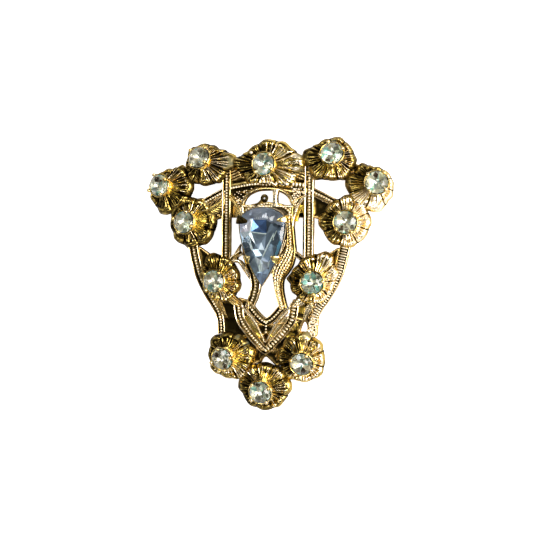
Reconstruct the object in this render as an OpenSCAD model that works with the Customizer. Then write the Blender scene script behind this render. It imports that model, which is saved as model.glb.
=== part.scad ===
// Pierced dress clip brooch: stamped flowers, beaded ribs, a pear stone and twelve round stones.
// It lies on the back of its clip with its front up. +Y points to its top.

/* [Frame] */
// Height of the plate's front above the surface that the clip lies on, on the centre line
plate_z = 4.3; // [4.2:0.1:6]
// Thickness of the stamped plate
plate_t = 0.7; // [0.5:0.05:0.8]
// Radius of the plate's bend from side to side
dome_r = 208; // [150:1:400]
// Height of the rails above the plate's front
rail_h = 0.3; // [0.1:0.05:0.4]
// Distance of the upright ribs from the centre line
rib_x = 8; // [7.8:0.1:8.2]
// Half the width of an upright rib
rib_half_w = 0.86; // [0.6:0.02:1]

/* [Flowers] */
// Height of the crest of a petal above the plate
petal_crest = 1.2; // [0.9:0.05:1.3]
// Height of the low ring between the seat and the crest
petal_dip = 0.85; // [0.7:0.05:1]
// Height of the flat seat that the cup stands on
seat_z = 1; // [0.8:0.05:1]
// How far the gap between two petals cuts into the outline
petal_notch = 0.16; // [0.05:0.01:0.25]

/* [Round stones] */
// Diameter of a round stone
round_d = 4; // [3.6:0.05:4.1]
// Height of its girdle above the plate
girdle_z = 2.8; // [2.7:0.05:3.4]
// Height of its crown above the girdle
crown_h = 0.7; // [0.5:0.05:0.75]
// Depth of its pavilion below the girdle
pavilion_h = 1.4; // [1.2:0.05:1.45]
// Width of its table as a share of the diameter
table_share = 0.56; // [0.5:0.01:0.65]

/* [Pear stone] */
// Half the width of the pear stone
pear_half_w = 4.35; // [4:0.05:4.5]
// Height of its round end above its widest place
pear_head = 2.6; // [2.2:0.05:2.8]
// Length from its widest place to its point
pear_tail = 11.5; // [10.5:0.1:12]
// Place of its widest line on the brooch
pear_y = 8.1; // [7.8:0.1:8.4]
// Height of its girdle above the plate
pear_girdle_z = 2.8; // [2.7:0.05:3.4]
// Height of its crown above the girdle
pear_crown_h = 0.95; // [0.7:0.05:1]
// Depth of its pavilion below the girdle
pear_pavilion_h = 1.8; // [1.5:0.05:1.9]

/* [Clip] */
// Length of the bracket across the brooch
bracket_w = 18.4; // [17:0.1:18.6]
// Width of the bracket along the brooch
bracket_h = 2.3; // [2:0.1:2.4]
// Diameter of the barrels
barrel_d = 2.1; // [1.8:0.1:2.4]
// Thickness of the clip's sheet
sheet_t = 0.7; // [0.5:0.05:0.8]
// Half the width of the lever at its top
lever_half_w = 8.7; // [8.5:0.1:8.9]
// Width of each arm of the lever
arm_w = 1.6; // [1.4:0.1:1.8]

/* [Hidden] */
brass = [0.69, 0.54, 0.23];
bright_brass = [0.82, 0.64, 0.25];
pale_blue = [0.66, 0.75, 0.85];
clear_glass = [0.85, 0.88, 0.84];
// Gap between two pieces that meet
fit_gap = 0.06;
round_r = round_d / 2;
round_sides = 16;
girdle_t = 0.12;
cup_foot_r = 1.3;
cup_wall = 0.2;
cup_sides = 48;
// The conical seat ends in a small hole below the stone's point
seat_drop = 0.2;
seat_foot_r = 0.35;
prong_r = 0.24;
prong_sides = 24;
// How far a prong reaches below and above the girdle
prong_drop = 0.9;
prong_rise = 0.45;
prong_bead_r = 0.3;
prong_bead_in = 0.03;
prong_bead_z = 0.57;

// Flower rows: name, x, y, lean in degrees, direction of the lean, petal family, turn of the prongs
NAME = 0; FX = 1; FY = 2; LEAN = 3; TOWARD = 4; FAMILY = 5; TURN = 6;
flowers = [
    ["top",             0.05,  18.5,   4,   90, "top",      -37],
    ["upper_left",    -12.5,   19.25, 19,  108, "upper",    -35],
    ["upper_right",    12.5,   19.6,  19,   72, "upper",     20],
    ["outer_left",    -20.2,   14.8,  16,  162, "outer",    -18],
    ["outer_right",    20.2,   14.95, 16,   18, "outer",    -40],
    ["shoulder_left", -15.25,   8.1,   8,  180, "shoulder", -20],
    ["shoulder_right", 15,      8.1,   8,    0, "shoulder",  35],
    ["waist_left",     -9.2,   -2.8,   5,  190, "waist",    -40],
    ["waist_right",     9.2,   -2.8,   5,  -10, "waist",     10],
    ["lower_left",     -7.3,  -16.5,  15,  243, "lower",     15],
    ["lower_right",     7.25, -16.8,  18,  -63, "lower",    -30],
    ["point",          -0.1,  -22.3,  14,  -90, "point",     35],
];

// Petals of each family on the right-hand side: direction, length
petal_families = [
    ["top",      [[90, 5], [42, 5.4], [6, 7.1], [-34, 5.8], [-90, 3.7], [-146, 5.6], [174, 6.9], [138, 4.9]]],
    ["upper",    [[179, 6.2], [128, 4.1], [80, 4.1], [36, 3.8], [-10, 4.1], [-55, 4.6], [-98, 4.5], [-138, 5.1]]],
    ["outer",    [[176, 6], [132, 4.9], [88, 3.3], [44, 3.1], [0, 3.3], [-42, 4], [-86, 5.1], [-132, 5.3]]],
    ["shoulder", [[175, 5.5], [126, 5.1], [84, 4.8], [36, 4.7], [-8, 4.3], [-50, 4.6], [-92, 4.9], [-140, 5.2]]],
    ["waist",    [[156, 4.8], [112, 5.3], [66, 5.6], [22, 4.4], [-22, 3.6], [-70, 3.9], [-122, 4.3], [-166, 4.5]]],
    ["lower",    [[172, 5.3], [130, 5], [88, 4.8], [46, 4.55], [2, 4.1], [-40, 4.2], [-88, 4.4], [-138, 5]]],
    ["point",    [[90, 4.7], [45, 5.1], [8, 5.2], [-42, 4.4], [-90, 4.3], [-138, 4.5], [172, 5.3], [135, 5.1]]],
];
petal_steps = 4;
// Higher values keep a petal broad for longer before the gap beside it
petal_power = 2.2;

// Petal rings from the seat to the rim: share of the petal's length, height, height added on its middle
// line, share of the flower's lean
petal_rings = [[0.56, petal_dip, 0, 0.8], [0.82, petal_crest - 0.45, 0.45, 0.5], [1, -0.12, 0.1, 0.3],
    [0.94, -plate_t - 0.1, 0, 0.3]];
seat_r = 1.65;

// Bands on the right-hand side: x, y, half width
side_rib = [[14.8, 4, 1], [13.6, -0.8, 0.95], [11.9, -4.5, 0.85], [9.25, -8.8, 0.75], [8.7, -12.6, 0.75]];
slant_bar = [[8.4, 13.85, 0.75], [12.6, 11.75, 0.75]];
outer_strap = [[7.4, 13.1, 0.3], [5.9, 11.2, 0.4], [5, 8.9, 0.4], [4.6, 5.6, 0.45]];
inner_strap = [[5, 10.9, 0.4], [4.6, 8.6, 0.4], [4.5, 6.4, 0.45]];
inner_band = [[4.6, 5.6, 0.5], [4.1, 3.2, 0.65], [3.4, 0.8, 0.85], [2.45, -1.3, 0.95], [2.05, -3.5, 1],
    [2.5, -5.6, 0.9], [3.3, -7.7, 0.8]];
rib_branch = [[5, 2.6, 0.6], [6.3, 1.8, 0.45], [7.6, 0.7, 0.6]];
rib_rail = [[6.9, 0.9, 0.3], [5.4, 0.9, 0.35], [4.2, -0.5, 0.4], [3.2, -1.9, 0.35]];
inner_point = [[3.4, -7.2, 0.75], [0, -10.2, 0.75]];
blade = [[4.3, -7.9, 0.35], [2.1, -10.3, 0.4], [0.1, -13.9, 0.25]];
outer_point = [[5.4, -7.2, 0.9], [4.95, -9.7, 0.9], [3.5, -11.9, 0.85], [1.7, -13.9, 0.8], [0, -15.4, 0.75]];
inner_leaf = [[8, -5.4, 0.8], [4.7, -7.6, 0.3]];
outer_leaf = [[8.9, -6, 0.7], [7.1, -9.8, 0.15]];
pear_bead_band = [[4.9, 9, 0.5], [3.4, 10.8, 0.5], [0, 11.6, 0.35]];
arch_lip = [[5, 11.2, 0.35], [4.15, 12.9, 0.35], [2.4, 14, 0.35], [0, 14.3, 0.35]];
arch_beads = [[7.4, 14.7, 0.45], [4, 15.25, 0.5], [0, 15.4, 0.5]];

// Bands on the centre line, which have no twin
upright_rib = [[rib_x, 18.3, rib_half_w], [rib_x, 0.9, rib_half_w]];
cross_bar = [[-4.9, 11.1, 0.3], [4.9, 11, 0.3]];
post = [[1.4, 11.2, 0.35], [1.4, 12.8, 0.3], [1.5, 14.2, 0.45]];
curl = [[-1.9, 11.2, 0.25], [-0.9, 12, 0.28], [-0.2, 13.2, 0.25]];
spike = [[-6, 1.4, 0.5], [-5.15, 4.1, 0.08]];
curl_ball = [0, 12.8, 0.6];
curl_sides = 8;

// Pads of plain plate on the right-hand side, each round the discs x, y, radius
pads = [
    [[7.2, 16.2, 0.3], [7.2, 13.5, 0.3], [-0.4, 16.6, 0.4], [-0.4, 14.7, 0.3], [3.1, 14.1, 0.3]],
    [[7.2, 14, 0.3], [6.8, 13, 0.3], [5, 12, 0.3], [4.1, 13.4, 0.3]],
    [[6.7, 12.9, 0.2], [5.2, 9.9, 0.2], [5.2, 11.9, 0.2]],
    [[8, 18.4, 0.8], [6.3, 17.4, 0.9], [5.6, 16.4, 0.6], [7.6, 15.6, 0.4]],
    [[8.5, 13.5, 0.2], [8.7, 9.2, 0.2], [10.4, 8.8, 0.3], [12.4, 11.4, 0.3]],
    [[13.4, 3.3, 0.3], [11.7, 2.2, 0.3], [10.8, -3.4, 0.3], [12.6, -2.8, 0.3]],
    [[5.9, -10.3, 0.3], [6.4, -12.3, 0.3], [5.8, -13.3, 0.4], [3.5, -12.8, 0.4]],
    [[8.5, -9.2, 0.3], [8.2, -12.6, 0.3], [8.9, -12.6, 0.3]],
    [[-0.5, -11.2, 0.4], [2.3, -11, 0.3], [3.1, -11.4, 0.3], [1.2, -13, 0.3]],
    [[5.4, -13.6, 0.5], [3.4, -13, 0.5], [1.7, -14.6, 0.4], [2.6, -17.6, 0.6], [4.4, -16, 0.5]],
    [[6.2, -6.6, 0.3], [8.9, -6.6, 0.3], [8.6, -9.4, 0.3], [7.4, -9.7, 0.2], [5.2, -9.4, 0.3],
        [4.4, -7.6, 0.3]],
];
// Pads that the right-hand side lacks
left_pads = [
    [[-8.4, -9.6, 0.3], [-8, -12.6, 0.4], [-5.6, -9.6, 0.4], [-5.6, -12.4, 0.4]],
    [[-2.6, -17.6, 0.6], [-1.3, -17.2, 0.6], [-1.2, -15.2, 0.5]],
    [[-4.7, -8.6, 0.4], [-2.4, -9.4, 0.4], [-3.2, -11.4, 0.4], [-1.6, -12.6, 0.3]],
    [[-5.3, -6.3, 0.5], [-3.6, -6.6, 0.4], [-5, -7.8, 0.4], [-3.7, -8.2, 0.3]],
];
// Pads that the left-hand side lacks
right_pads = [
    [[0, -15.8, 0.5], [2.2, -15.8, 0.4], [2.2, -17.9, 0.4]],
    [[4.1, -2.2, 0.3], [5, -1.4, 0.5], [5.1, -3.4, 0.3]],
    [[5.4, -7.2, 0.4], [5.3, -6.2, 0.3], [4.9, -8, 0.3]],
];
// The plate that the cup of the pear stone stands on
pear_plate = [[-4, 8.4, 0.5], [4, 8.4, 0.5], [-3.8, 4.2, 0.5], [3.8, 4.2, 0.5], [-1.5, -0.9, 0.4],
    [1.5, -0.9, 0.4]];
pad_sides = 6;
pad_back = 0.6;
pad_front = 0.08;
pear_plate_front = 0.2;

// Cross section of a band: place across as a share of the half width, height as a share of the rails
band_section = [[-1, 1], [0, 0.1], [1, 1]];

function dome(x) = -x * x / (2 * dome_r);
function row_of(table, name) = [for (r = table) if (r[0] == name) r[1]][0];

// A smooth curve through the rows of a table, with some steps between two rows
function between(a, b, c, d, t) =
    0.5 * (2 * b + (c - a) * t + (2 * a - 5 * b + 4 * c - d) * t * t + (3 * b - a - 3 * c + d) * t * t * t);
function smooth(rows, steps) = let (last = len(rows) - 1) concat(
    [for (i = [0:last - 1], s = [0:steps - 1])
        between(rows[max(i - 1, 0)], rows[i], rows[i + 1], rows[min(i + 2, last)], s / steps)],
    [rows[last]]);
function heading(rows, i) = let (d = rows[min(i + 1, len(rows) - 1)] - rows[max(i - 1, 0)])
    [d[0], d[1]] / norm([d[0], d[1]]);

// One ring of a band, across its heading
function ring(row, head) = let (front = plate_z + dome(row[0])) [
    for (s = concat([[-1, undef]], band_section, [[1, undef]]))
        [row[0] - head[1] * row[2] * s[0], row[1] + head[0] * row[2] * s[0],
            is_undef(s[1]) ? front - plate_t : front + rail_h * s[1]]];

// The faces of a skin of rings with the same count of points, closed at both ends
function skin_faces(rings, count) = concat(
    [[for (j = [count - 1:-1:0]) j]],
    [for (i = [0:rings - 2], j = [0:count - 1]) let (k = (j + 1) % count, a = i * count, b = a + count)
        [a + j, a + k, b + k, b + j]],
    [[for (j = [0:count - 1]) (rings - 1) * count + j]]);

module skin(rings) {
    polyhedron([for (r = rings) each r], skin_faces(len(rings), len(rings[0])));
}

// A band's rows from its right-hand end over the centre line to its left-hand end
function across(rows) = concat(rows, [for (i = [len(rows) - 2:-1:0]) [-rows[i][0], rows[i][1], rows[i][2]]]);

module band(rows, steps = 2) {
    line = smooth(rows, steps);
    skin([for (i = [0:len(line) - 1]) ring(line[i], heading(line, i))]);
}

module both_sides() {
    children();
    mirror([1, 0, 0]) children();
}

module pad(discs, front = -pad_front) {
    hull()
        for (d = discs)
            translate([d[0], d[1], plate_z + dome(d[0]) - pad_back])
                cylinder(h = pad_back + front, r = d[2], $fn = pad_sides);
}

// Places its children in a flower's own frame, with z along the axis of its stone
module at_flower(f) {
    translate([f[FX], f[FY], plate_z + dome(f[FX])])
        rotate(a = f[LEAN], v = [-sin(f[TOWARD]), cos(f[TOWARD]), 0])
            children();
}

// A flower's outline: the petal that reaches furthest in a direction sets the radius there
function turn_between(a, b) = let (d = abs(a - b) % 360) min(d, 360 - d);
function petal_reach(petals, a, half) = max([for (p = petals)
    p[1] * (1 - petal_notch * pow(turn_between(a, p[0]) / half, petal_power))]);
// 1 on the middle line of a petal, 0 in the gap between two
function petal_middle(petals, a, half) = max([for (p = petals) 1 - min(turn_between(a, p[0]) / half, 1)]);

// A point turned about the line across a direction, so that +Z leans towards it
function leaned(v, lean, toward) = let (k = [-sin(toward), cos(toward), 0])
    v * cos(lean) + cross(k, v) * sin(lean) + k * (k * v) * (1 - cos(lean));

// Flowers nearer to the centre line than this have no twin
centre_share = 1;

// The seat leans with the stone, and the petals level out towards their rims
module flower(f) {
    petals = row_of(petal_families, f[FAMILY]);
    count = len(petals) * petal_steps;
    half = 180 / len(petals);
    turns = [for (i = [0:count - 1]) i * 360 / count];
    flip = f[FX] < -centre_share;
    toward = flip ? 180 - f[TOWARD] : f[TOWARD];
    seat = [for (a = turns) leaned([seat_r * cos(a), seat_r * sin(a), seat_z], f[LEAN], toward)];
    rings = [for (p = petal_rings) [for (a = turns)
        let (r = petal_reach(petals, a, half) * p[0], drop = r * tan(f[LEAN]) * cos(a - toward) * p[3])
            [r * cos(a), r * sin(a), p[1] + p[2] * petal_middle(petals, a, half) - drop]]];
    translate([f[FX], f[FY], plate_z + dome(f[FX])])
        mirror([flip ? 1 : 0, 0, 0])
            skin(concat([seat], rings));
}

module frame() {
    color(brass) {
        for (f = flowers) flower(f);
        both_sides() {
            band(upright_rib, 1);
            band(side_rib);
            band(slant_bar, 1);
            band(outer_strap);
            band(inner_strap);
            band(inner_band);
            band(rib_branch, 1);
            band(rib_rail);
            band(blade);
            band(inner_leaf, 1);
            band(outer_leaf, 1);
            for (p = pads) pad(p);
        }
        for (p = concat(left_pads, right_pads)) pad(p);
        pad(pear_plate, pear_plate_front);
        for (rows = [inner_point, arch_beads]) band(across(rows), 1);
        for (rows = [outer_point, pear_bead_band, arch_lip]) band(across(rows));
        band(cross_bar, 1);
        band(post, 1);
        band(curl, 1);
        band(spike, 1);
        translate([curl_ball[0], curl_ball[1], plate_z]) sphere(curl_ball[2], $fn = curl_sides);
    }
}

// A cup with a conical seat, open at the top
module cup() {
    foot_z = seat_z + fit_gap;
    top_z = girdle_z - girdle_t;
    seat_foot_z = girdle_z - pavilion_h - seat_drop;
    difference() {
        translate([0, 0, foot_z])
            cylinder(h = top_z - foot_z, r1 = cup_foot_r, r2 = round_r + fit_gap + cup_wall, $fn = cup_sides);
        translate([0, 0, seat_foot_z])
            cylinder(h = girdle_z - seat_foot_z, r1 = seat_foot_r, r2 = round_r + 2 * fit_gap, $fn = cup_sides);
    }
}

// A claw that rises beside the girdle, with a bead that bends in over the crown
module prong() {
    x = round_r + fit_gap + prong_r;
    translate([x, 0, girdle_z - prong_drop])
        cylinder(h = prong_drop + prong_rise, r = prong_r, $fn = prong_sides);
    translate([round_r - prong_bead_in, 0, girdle_z + prong_bead_z])
        sphere(prong_bead_r, $fn = prong_sides);
}

module setting(f) {
    color(bright_brass) at_flower(f) {
        cup();
        for (a = [0:90:270]) rotate([0, 0, f[TURN] + a]) prong();
    }
}

// A round stone: table, crown facets, girdle and a pointed pavilion
module round_stone(f) {
    half = 180 / round_sides;
    table = [for (i = [0:round_sides / 2 - 1]) let (a = i * 4 * half)
        [round_r * table_share * cos(a), round_r * table_share * sin(a), girdle_z + crown_h]];
    upper = [for (i = [0:round_sides - 1]) let (a = i * 2 * half)
        [round_r * cos(a), round_r * sin(a), girdle_z + girdle_t / 2]];
    lower = [for (p = upper) [p[0], p[1], girdle_z - girdle_t / 2]];
    n = round_sides;
    t = n / 2;
    faces = concat(
        [[for (i = [t - 1:-1:0]) i]],
        [for (i = [0:t - 1]) [i, (i + 1) % t, t + 2 * i + 1]],
        [for (i = [0:t - 1]) [i, t + 2 * i + 1, t + 2 * i]],
        [for (i = [0:t - 1]) [(i + 1) % t, t + (2 * i + 2) % n, t + 2 * i + 1]],
        [for (i = [0:n - 1]) let (k = (i + 1) % n) [t + i, t + k, t + n + k, t + n + i]],
        [for (i = [0:n - 1]) [t + n + i, t + n + (i + 1) % n, t + 2 * n]]);
    color(clear_glass) at_flower(f)
        polyhedron(concat(table, upper, lower, [[0, 0, girdle_z - pavilion_h]]), faces);
}

// The pear outline: a half ellipse over the widest line, and sides that draw in to a point
pear_steps = 6;
pear_power = 1.85;
tip_grow = 1.6;
function pear_outline(grow) = let (w = pear_half_w + grow, tail = pear_tail + tip_grow * grow,
    right = concat(
        [for (i = [pear_steps:-1:1]) let (a = 90 * i / pear_steps) [w * cos(a), (pear_head + grow) * sin(a)]],
        [for (i = [0:pear_steps - 1]) let (t = i / pear_steps) [w * (1 - pow(t, pear_power)), -tail * t]]))
    concat(right, [[0, -tail]], [for (i = [len(right) - 1:-1:1]) [-right[i][0], right[i][1]]]);
// A ring of the outline grown by a width, or scaled about the stone's middle, at a height above the plate
function pear_grown(grow, z) = [for (p = pear_outline(grow)) [p[0], pear_y + p[1], plate_z + z]];
pear_middle = [0, -2.2];
function pear_scaled(share, z) = [for (p = pear_outline(0)) let (q = pear_middle + (p - pear_middle) * share)
    [q[0], pear_y + q[1], plate_z + z]];

// Pear prongs on the right-hand side: x and y at the girdle, x of the claw's end
pear_prongs = [[4.35, 8.5, 3.9], [2.75, 1.2, 2.2]];
pear_prong_r = 0.28;
pear_prong_sides = 6;
// Heights of a claw's foot, bend and end above the pear's girdle
claw_foot_z = -1.1;
claw_bend_z = 0.15;
claw_end_z = 0.95;
// How far its foot stands in from the girdle's edge
claw_foot_in = 0.1;

module claw_ball(x, y, z) {
    translate([x, y, plate_z + pear_girdle_z + z]) sphere(pear_prong_r, $fn = pear_prong_sides);
}

module pear_prong(p) {
    out = p[0] + 2 * fit_gap + pear_prong_r;
    hull() {
        claw_ball(p[0] - claw_foot_in, p[1], claw_foot_z);
        claw_ball(out, p[1], claw_bend_z);
    }
    hull() {
        claw_ball(out, p[1], claw_bend_z);
        claw_ball(p[2], p[1], claw_end_z);
    }
}

// The pear's cup: size of its foot and of its waist as shares of the stone, and the height of the waist
pear_cup_foot = 0.6;
pear_cup_waist = 0.86;
pear_cup_waist_z = 1.6;
pear_cup_top_drop = 0.1;
pear_seat_foot = 0.3;

module setting_pear() {
    foot_z = rail_h + fit_gap;
    color(bright_brass) {
        difference() {
            skin([pear_scaled(pear_cup_foot, foot_z), pear_scaled(pear_cup_waist, pear_cup_waist_z),
                pear_grown(fit_gap + cup_wall, pear_girdle_z - pear_cup_top_drop)]);
            skin([pear_scaled(pear_seat_foot, pear_girdle_z - pear_pavilion_h - seat_drop),
                pear_grown(fit_gap, pear_girdle_z - pear_cup_top_drop / 2),
                pear_grown(fit_gap, pear_girdle_z + pear_crown_h)]);
        }
        both_sides() for (p = pear_prongs) pear_prong(p);
    }
}

// The pear stone: size of its culet and its table as shares of the stone, and its girdle's thickness
pear_culet = 0.06;
pear_table = 0.6;
pear_girdle_t = 0.2;

module stone_pear() {
    color(pale_blue) skin([pear_scaled(pear_culet, pear_girdle_z - pear_pavilion_h),
        pear_grown(0, pear_girdle_z), pear_grown(0, pear_girdle_z + pear_girdle_t), pear_scaled(pear_table, pear_girdle_z + pear_crown_h)]);
}

// The clip: a bracket under the ribs, two barrels, and a slotted lever whose back lies on the surface.
// Seen from the front it hides behind the ribs and bands, so its centre line is off the brooch's
clip_x = -1.3;
bracket_y = 9;
barrel_y = 12.4;
ear_x = 5.6;
lever_bar_y = 9.2;
lever_tip_y = -16;
lever_top_y = 13;
// The lever's edge and the edge of its slot on the right-hand side
lever_edge = [[lever_half_w, lever_top_y], [lever_half_w, 0], [7.6, -6], [5.6, -10.4], [3.6, -13.4],
    [1.9, lever_tip_y]];
slot_edge = [[lever_half_w - arm_w, lever_bar_y], [lever_half_w - arm_w, 0], [6, -5.6], [4.2, -9.4],
    [2.4, -12.2]];
tooth_w = 0.7;
tooth_x = [-1.3, 0, 1.3];
tooth_gap = 0.5;
barrel_sides = 32;

function mirrored(edge) = concat(edge, [for (i = [len(edge) - 1:-1:0]) [-edge[i][0], edge[i][1]]]);

module lever() {
    linear_extrude(sheet_t) difference() {
        polygon(mirrored(lever_edge));
        polygon(mirrored(slot_edge));
        translate([-ear_x, bracket_y + bracket_h]) square([2 * ear_x, barrel_y]);
    }
    for (x = tooth_x)
        translate([x - tooth_w / 2, lever_tip_y, 0]) cube([tooth_w, sheet_t, plate_z - plate_t - tooth_gap]);
}

module clip() {
    top = plate_z + dome(lever_half_w - clip_x) - plate_t - fit_gap;
    barrel_z = top - barrel_d / 2;
    color(brass) {
        translate([-bracket_w / 2, bracket_y, top - sheet_t]) cube([bracket_w, bracket_h, sheet_t]);
        translate([clip_x, 0, 0]) {
            both_sides() {
                translate([ear_x, bracket_y, top - sheet_t])
                    cube([lever_half_w - ear_x, barrel_y - bracket_y, sheet_t]);
                translate([ear_x, barrel_y, barrel_z]) rotate([0, 90, 0])
                    cylinder(h = lever_half_w - ear_x, d = barrel_d, $fn = barrel_sides);
                translate([lever_half_w - arm_w, barrel_y - sheet_t / 2, sheet_t / 2])
                    cube([arm_w, sheet_t, barrel_z - sheet_t / 2]);
            }
            lever();
        }
    }
}

// Puts the middle of the brooch's box over the origin
origin_y = 1.5;

module placed() {
    translate([0, origin_y, 0]) children();
}

placed() frame();
placed() clip();
placed() setting_pear();
placed() stone_pear();
for (f = flowers) {
    placed() setting(f);
    placed() round_stone(f);
}
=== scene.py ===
"""Dress clip brooch: pierced gilt brass with stamped flowers, beaded ribs, a pear stone and round stones.

Every size is in millimetres about the middle of the brooch: x to its right, y to its top, and z from the
front of the plate on the centre line. Meshes are moved into the frame, in metres, as they are made.
"""

import logging
import math
from dataclasses import dataclass, field, replace
from enum import Enum
from functools import partial
from typing import Iterable, Sequence

import bmesh
import bpy
import numpy as np
from bpy.types import ID, Material, Mesh, Node, NodeSocket, NodeTree, Object
from mathutils import Matrix, Vector
from mathutils.geometry import delaunay_2d_cdt


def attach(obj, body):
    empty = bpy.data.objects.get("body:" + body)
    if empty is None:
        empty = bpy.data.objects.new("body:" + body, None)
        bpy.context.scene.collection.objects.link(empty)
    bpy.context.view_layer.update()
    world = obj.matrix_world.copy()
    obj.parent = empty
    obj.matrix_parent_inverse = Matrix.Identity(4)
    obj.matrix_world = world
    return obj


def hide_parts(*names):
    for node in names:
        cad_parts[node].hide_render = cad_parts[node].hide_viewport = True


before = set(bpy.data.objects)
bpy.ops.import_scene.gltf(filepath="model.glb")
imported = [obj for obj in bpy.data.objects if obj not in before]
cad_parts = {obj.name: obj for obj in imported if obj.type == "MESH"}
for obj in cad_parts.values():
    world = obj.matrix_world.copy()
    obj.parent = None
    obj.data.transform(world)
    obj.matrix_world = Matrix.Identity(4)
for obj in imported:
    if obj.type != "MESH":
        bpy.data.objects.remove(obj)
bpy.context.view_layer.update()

LOG = logging.getLogger("brooch")

MM = 0.001
PLATE_Z = 4.3
PLATE_T = 0.7
ORIGIN_Y = 1.5
DOME_R = 208.0
FIT_GAP = 0.06
RELIEF = "relief"
# Cleanness of the metal, with painted light and painted shade added in some pieces
PATINA_AND_LIGHT = "patina_and_light"
GILDING = "gilding"
TINT = "tint"
GRAIN = "grain"
STAIN = "stain"

Values = float | np.ndarray
Point = tuple[float, float]
Row = tuple[float, ...]
Rows = Sequence[Row]
Face = tuple[int, ...]
Solid = tuple[np.ndarray, list[Face]]
Shell = tuple[np.ndarray, list[Face], Values, Values]


def dome(x: Values) -> Values:
    """How high the bent plate lies, against its middle line.

    Args:
        x: distance from the middle line.

    Returns:
        A height of zero or less.
    """
    return -np.square(x) / (2 * DOME_R)


def smoothstep(low: float, high: float, value: Values) -> np.ndarray:
    """A soft step from 0 at low to 1 at high.

    Args:
        low: value where the step starts.
        high: value where it ends.
        value: where it is read.

    Returns:
        The step's height.
    """
    t = np.clip((np.asarray(value, float) - low) / (high - low), 0, 1)
    return t * t * (3 - 2 * t)


def nearness(spots: np.ndarray, places: Rows, core: float) -> np.ndarray:
    """How near each spot is to some places.

    Args:
        spots: rows of x and y.
        places: x, y and reach of each place.
        core: share of the reach that still counts as its middle.

    Returns:
        1 in the middle of a place, and 0 from its reach on.
    """
    out = np.zeros(len(spots))
    for x, y, reach in places:
        away = np.linalg.norm(spots - [x, y], axis=1) / reach
        out = np.maximum(out, 1 - smoothstep(core, 1, away))
    return out


def full_turn(count: int) -> np.ndarray:
    """Angles of equal steps round a circle.

    Args:
        count: how many.

    Returns:
        The angles in radians.
    """
    return np.arange(count) * 2 * math.pi / count


def headings(line: np.ndarray) -> np.ndarray:
    """Directions along a line, in its first two columns.

    Args:
        line: the line's points.

    Returns:
        A unit vector for each point.
    """
    ahead = np.gradient(line[:, :2], axis=0)
    return ahead / np.linalg.norm(ahead, axis=1)[:, None]


def curve_through(rows: Rows, steps: int) -> np.ndarray:
    """A smooth curve through the rows of a table.

    Args:
        rows: points of any width.
        steps: how many pieces each stretch between two rows gets.

    Returns:
        The points of the curve.
    """
    table = np.asarray(rows, float)
    padded = np.vstack([table[:1], table, table[-1:]])
    out = []
    for i in range(len(table) - 1):
        a, b, c, d = padded[i:i + 4]
        for s in range(steps):
            t = s / steps
            out.append(0.5 * (2 * b + (c - a) * t + (2 * a - 5 * b + 4 * c - d) * t ** 2
                              + (3 * b - a - 3 * c + d) * t ** 3))
    out.append(table[-1])
    return np.array(out)


def mirrored(rows: Iterable[Row]) -> list[Row]:
    """The rows on the other side of the centre line.

    Args:
        rows: rows that start with x.

    Returns:
        The mirrored rows.
    """
    return [(-row[0], *row[1:]) for row in rows]


def across(rows: Rows, centred: bool = True) -> list[Row]:
    """Rows of one side, carried on over the centre line to the other side.

    Args:
        rows: the rows.
        centred: True if the last one is on the centre line, and so isn't doubled.

    Returns:
        The rows of both sides.
    """
    return [tuple(row) for row in rows] + mirrored(reversed(rows[:-1] if centred else rows))


def in_frame(points: np.ndarray) -> np.ndarray:
    """Points of the brooch in the shared frame.

    Args:
        points: rows in brooch millimetres.

    Returns:
        The same in metres of the frame.
    """
    return (points + [0, ORIGIN_Y, PLATE_Z]) * MM


def add_object(name: str, data: ID) -> Object:
    """Puts a mesh, a curve, a light or a camera into the scene.

    Args:
        name: name of the object.
        data: what it shows.

    Returns:
        The object.
    """
    made = bpy.data.objects.new(name, data)
    bpy.context.scene.collection.objects.link(made)
    return made


def read_vertices(mesh: Mesh, what: str) -> np.ndarray:
    """The places or the normals of a mesh's vertices.

    Args:
        mesh: the mesh.
        what: co or normal.

    Returns:
        Rows of x, y and z.
    """
    out = np.empty(len(mesh.vertices) * 3)
    mesh.vertices.foreach_get(what, out)
    return out.reshape(-1, 3)


def store(mesh: Mesh, name: str, values: np.ndarray) -> None:
    """Stores one number for each vertex of a mesh.

    Args:
        mesh: the mesh.
        name: name of the attribute.
        values: the numbers.
    """
    layer = mesh.attributes.get(name) or mesh.attributes.new(name, "FLOAT", "POINT")
    layer.data.foreach_set("value", np.asarray(values, np.float32))


def relief_of(mesh: Mesh) -> np.ndarray:
    """How far each vertex stands out of the surface round it.

    Args:
        mesh: the mesh.

    Returns:
        For each 0 deep in a groove, 0.5 on a plain surface and 1 on an edge.
    """
    rounds, full_relief = 5, 0.05
    count = len(mesh.vertices)
    edges = np.empty(len(mesh.edges) * 2, np.int64)
    mesh.edges.foreach_get("vertices", edges)
    a, b = edges.reshape(-1, 2).T
    degree = np.maximum(np.bincount(edges, minlength=count), 1)
    place = read_vertices(mesh, "co")
    even = place
    for _ in range(rounds):
        total = np.column_stack([np.bincount(a, even[b, axis], count) + np.bincount(b, even[a, axis], count)
                                 for axis in range(3)])
        even = 0.3 * even + 0.7 * total / degree[:, None]
    out = np.einsum("ij,ij->i", place - even, read_vertices(mesh, "normal")) / (full_relief * MM)
    return np.clip(0.5 + 0.5 * out, 0, 1)


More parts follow.
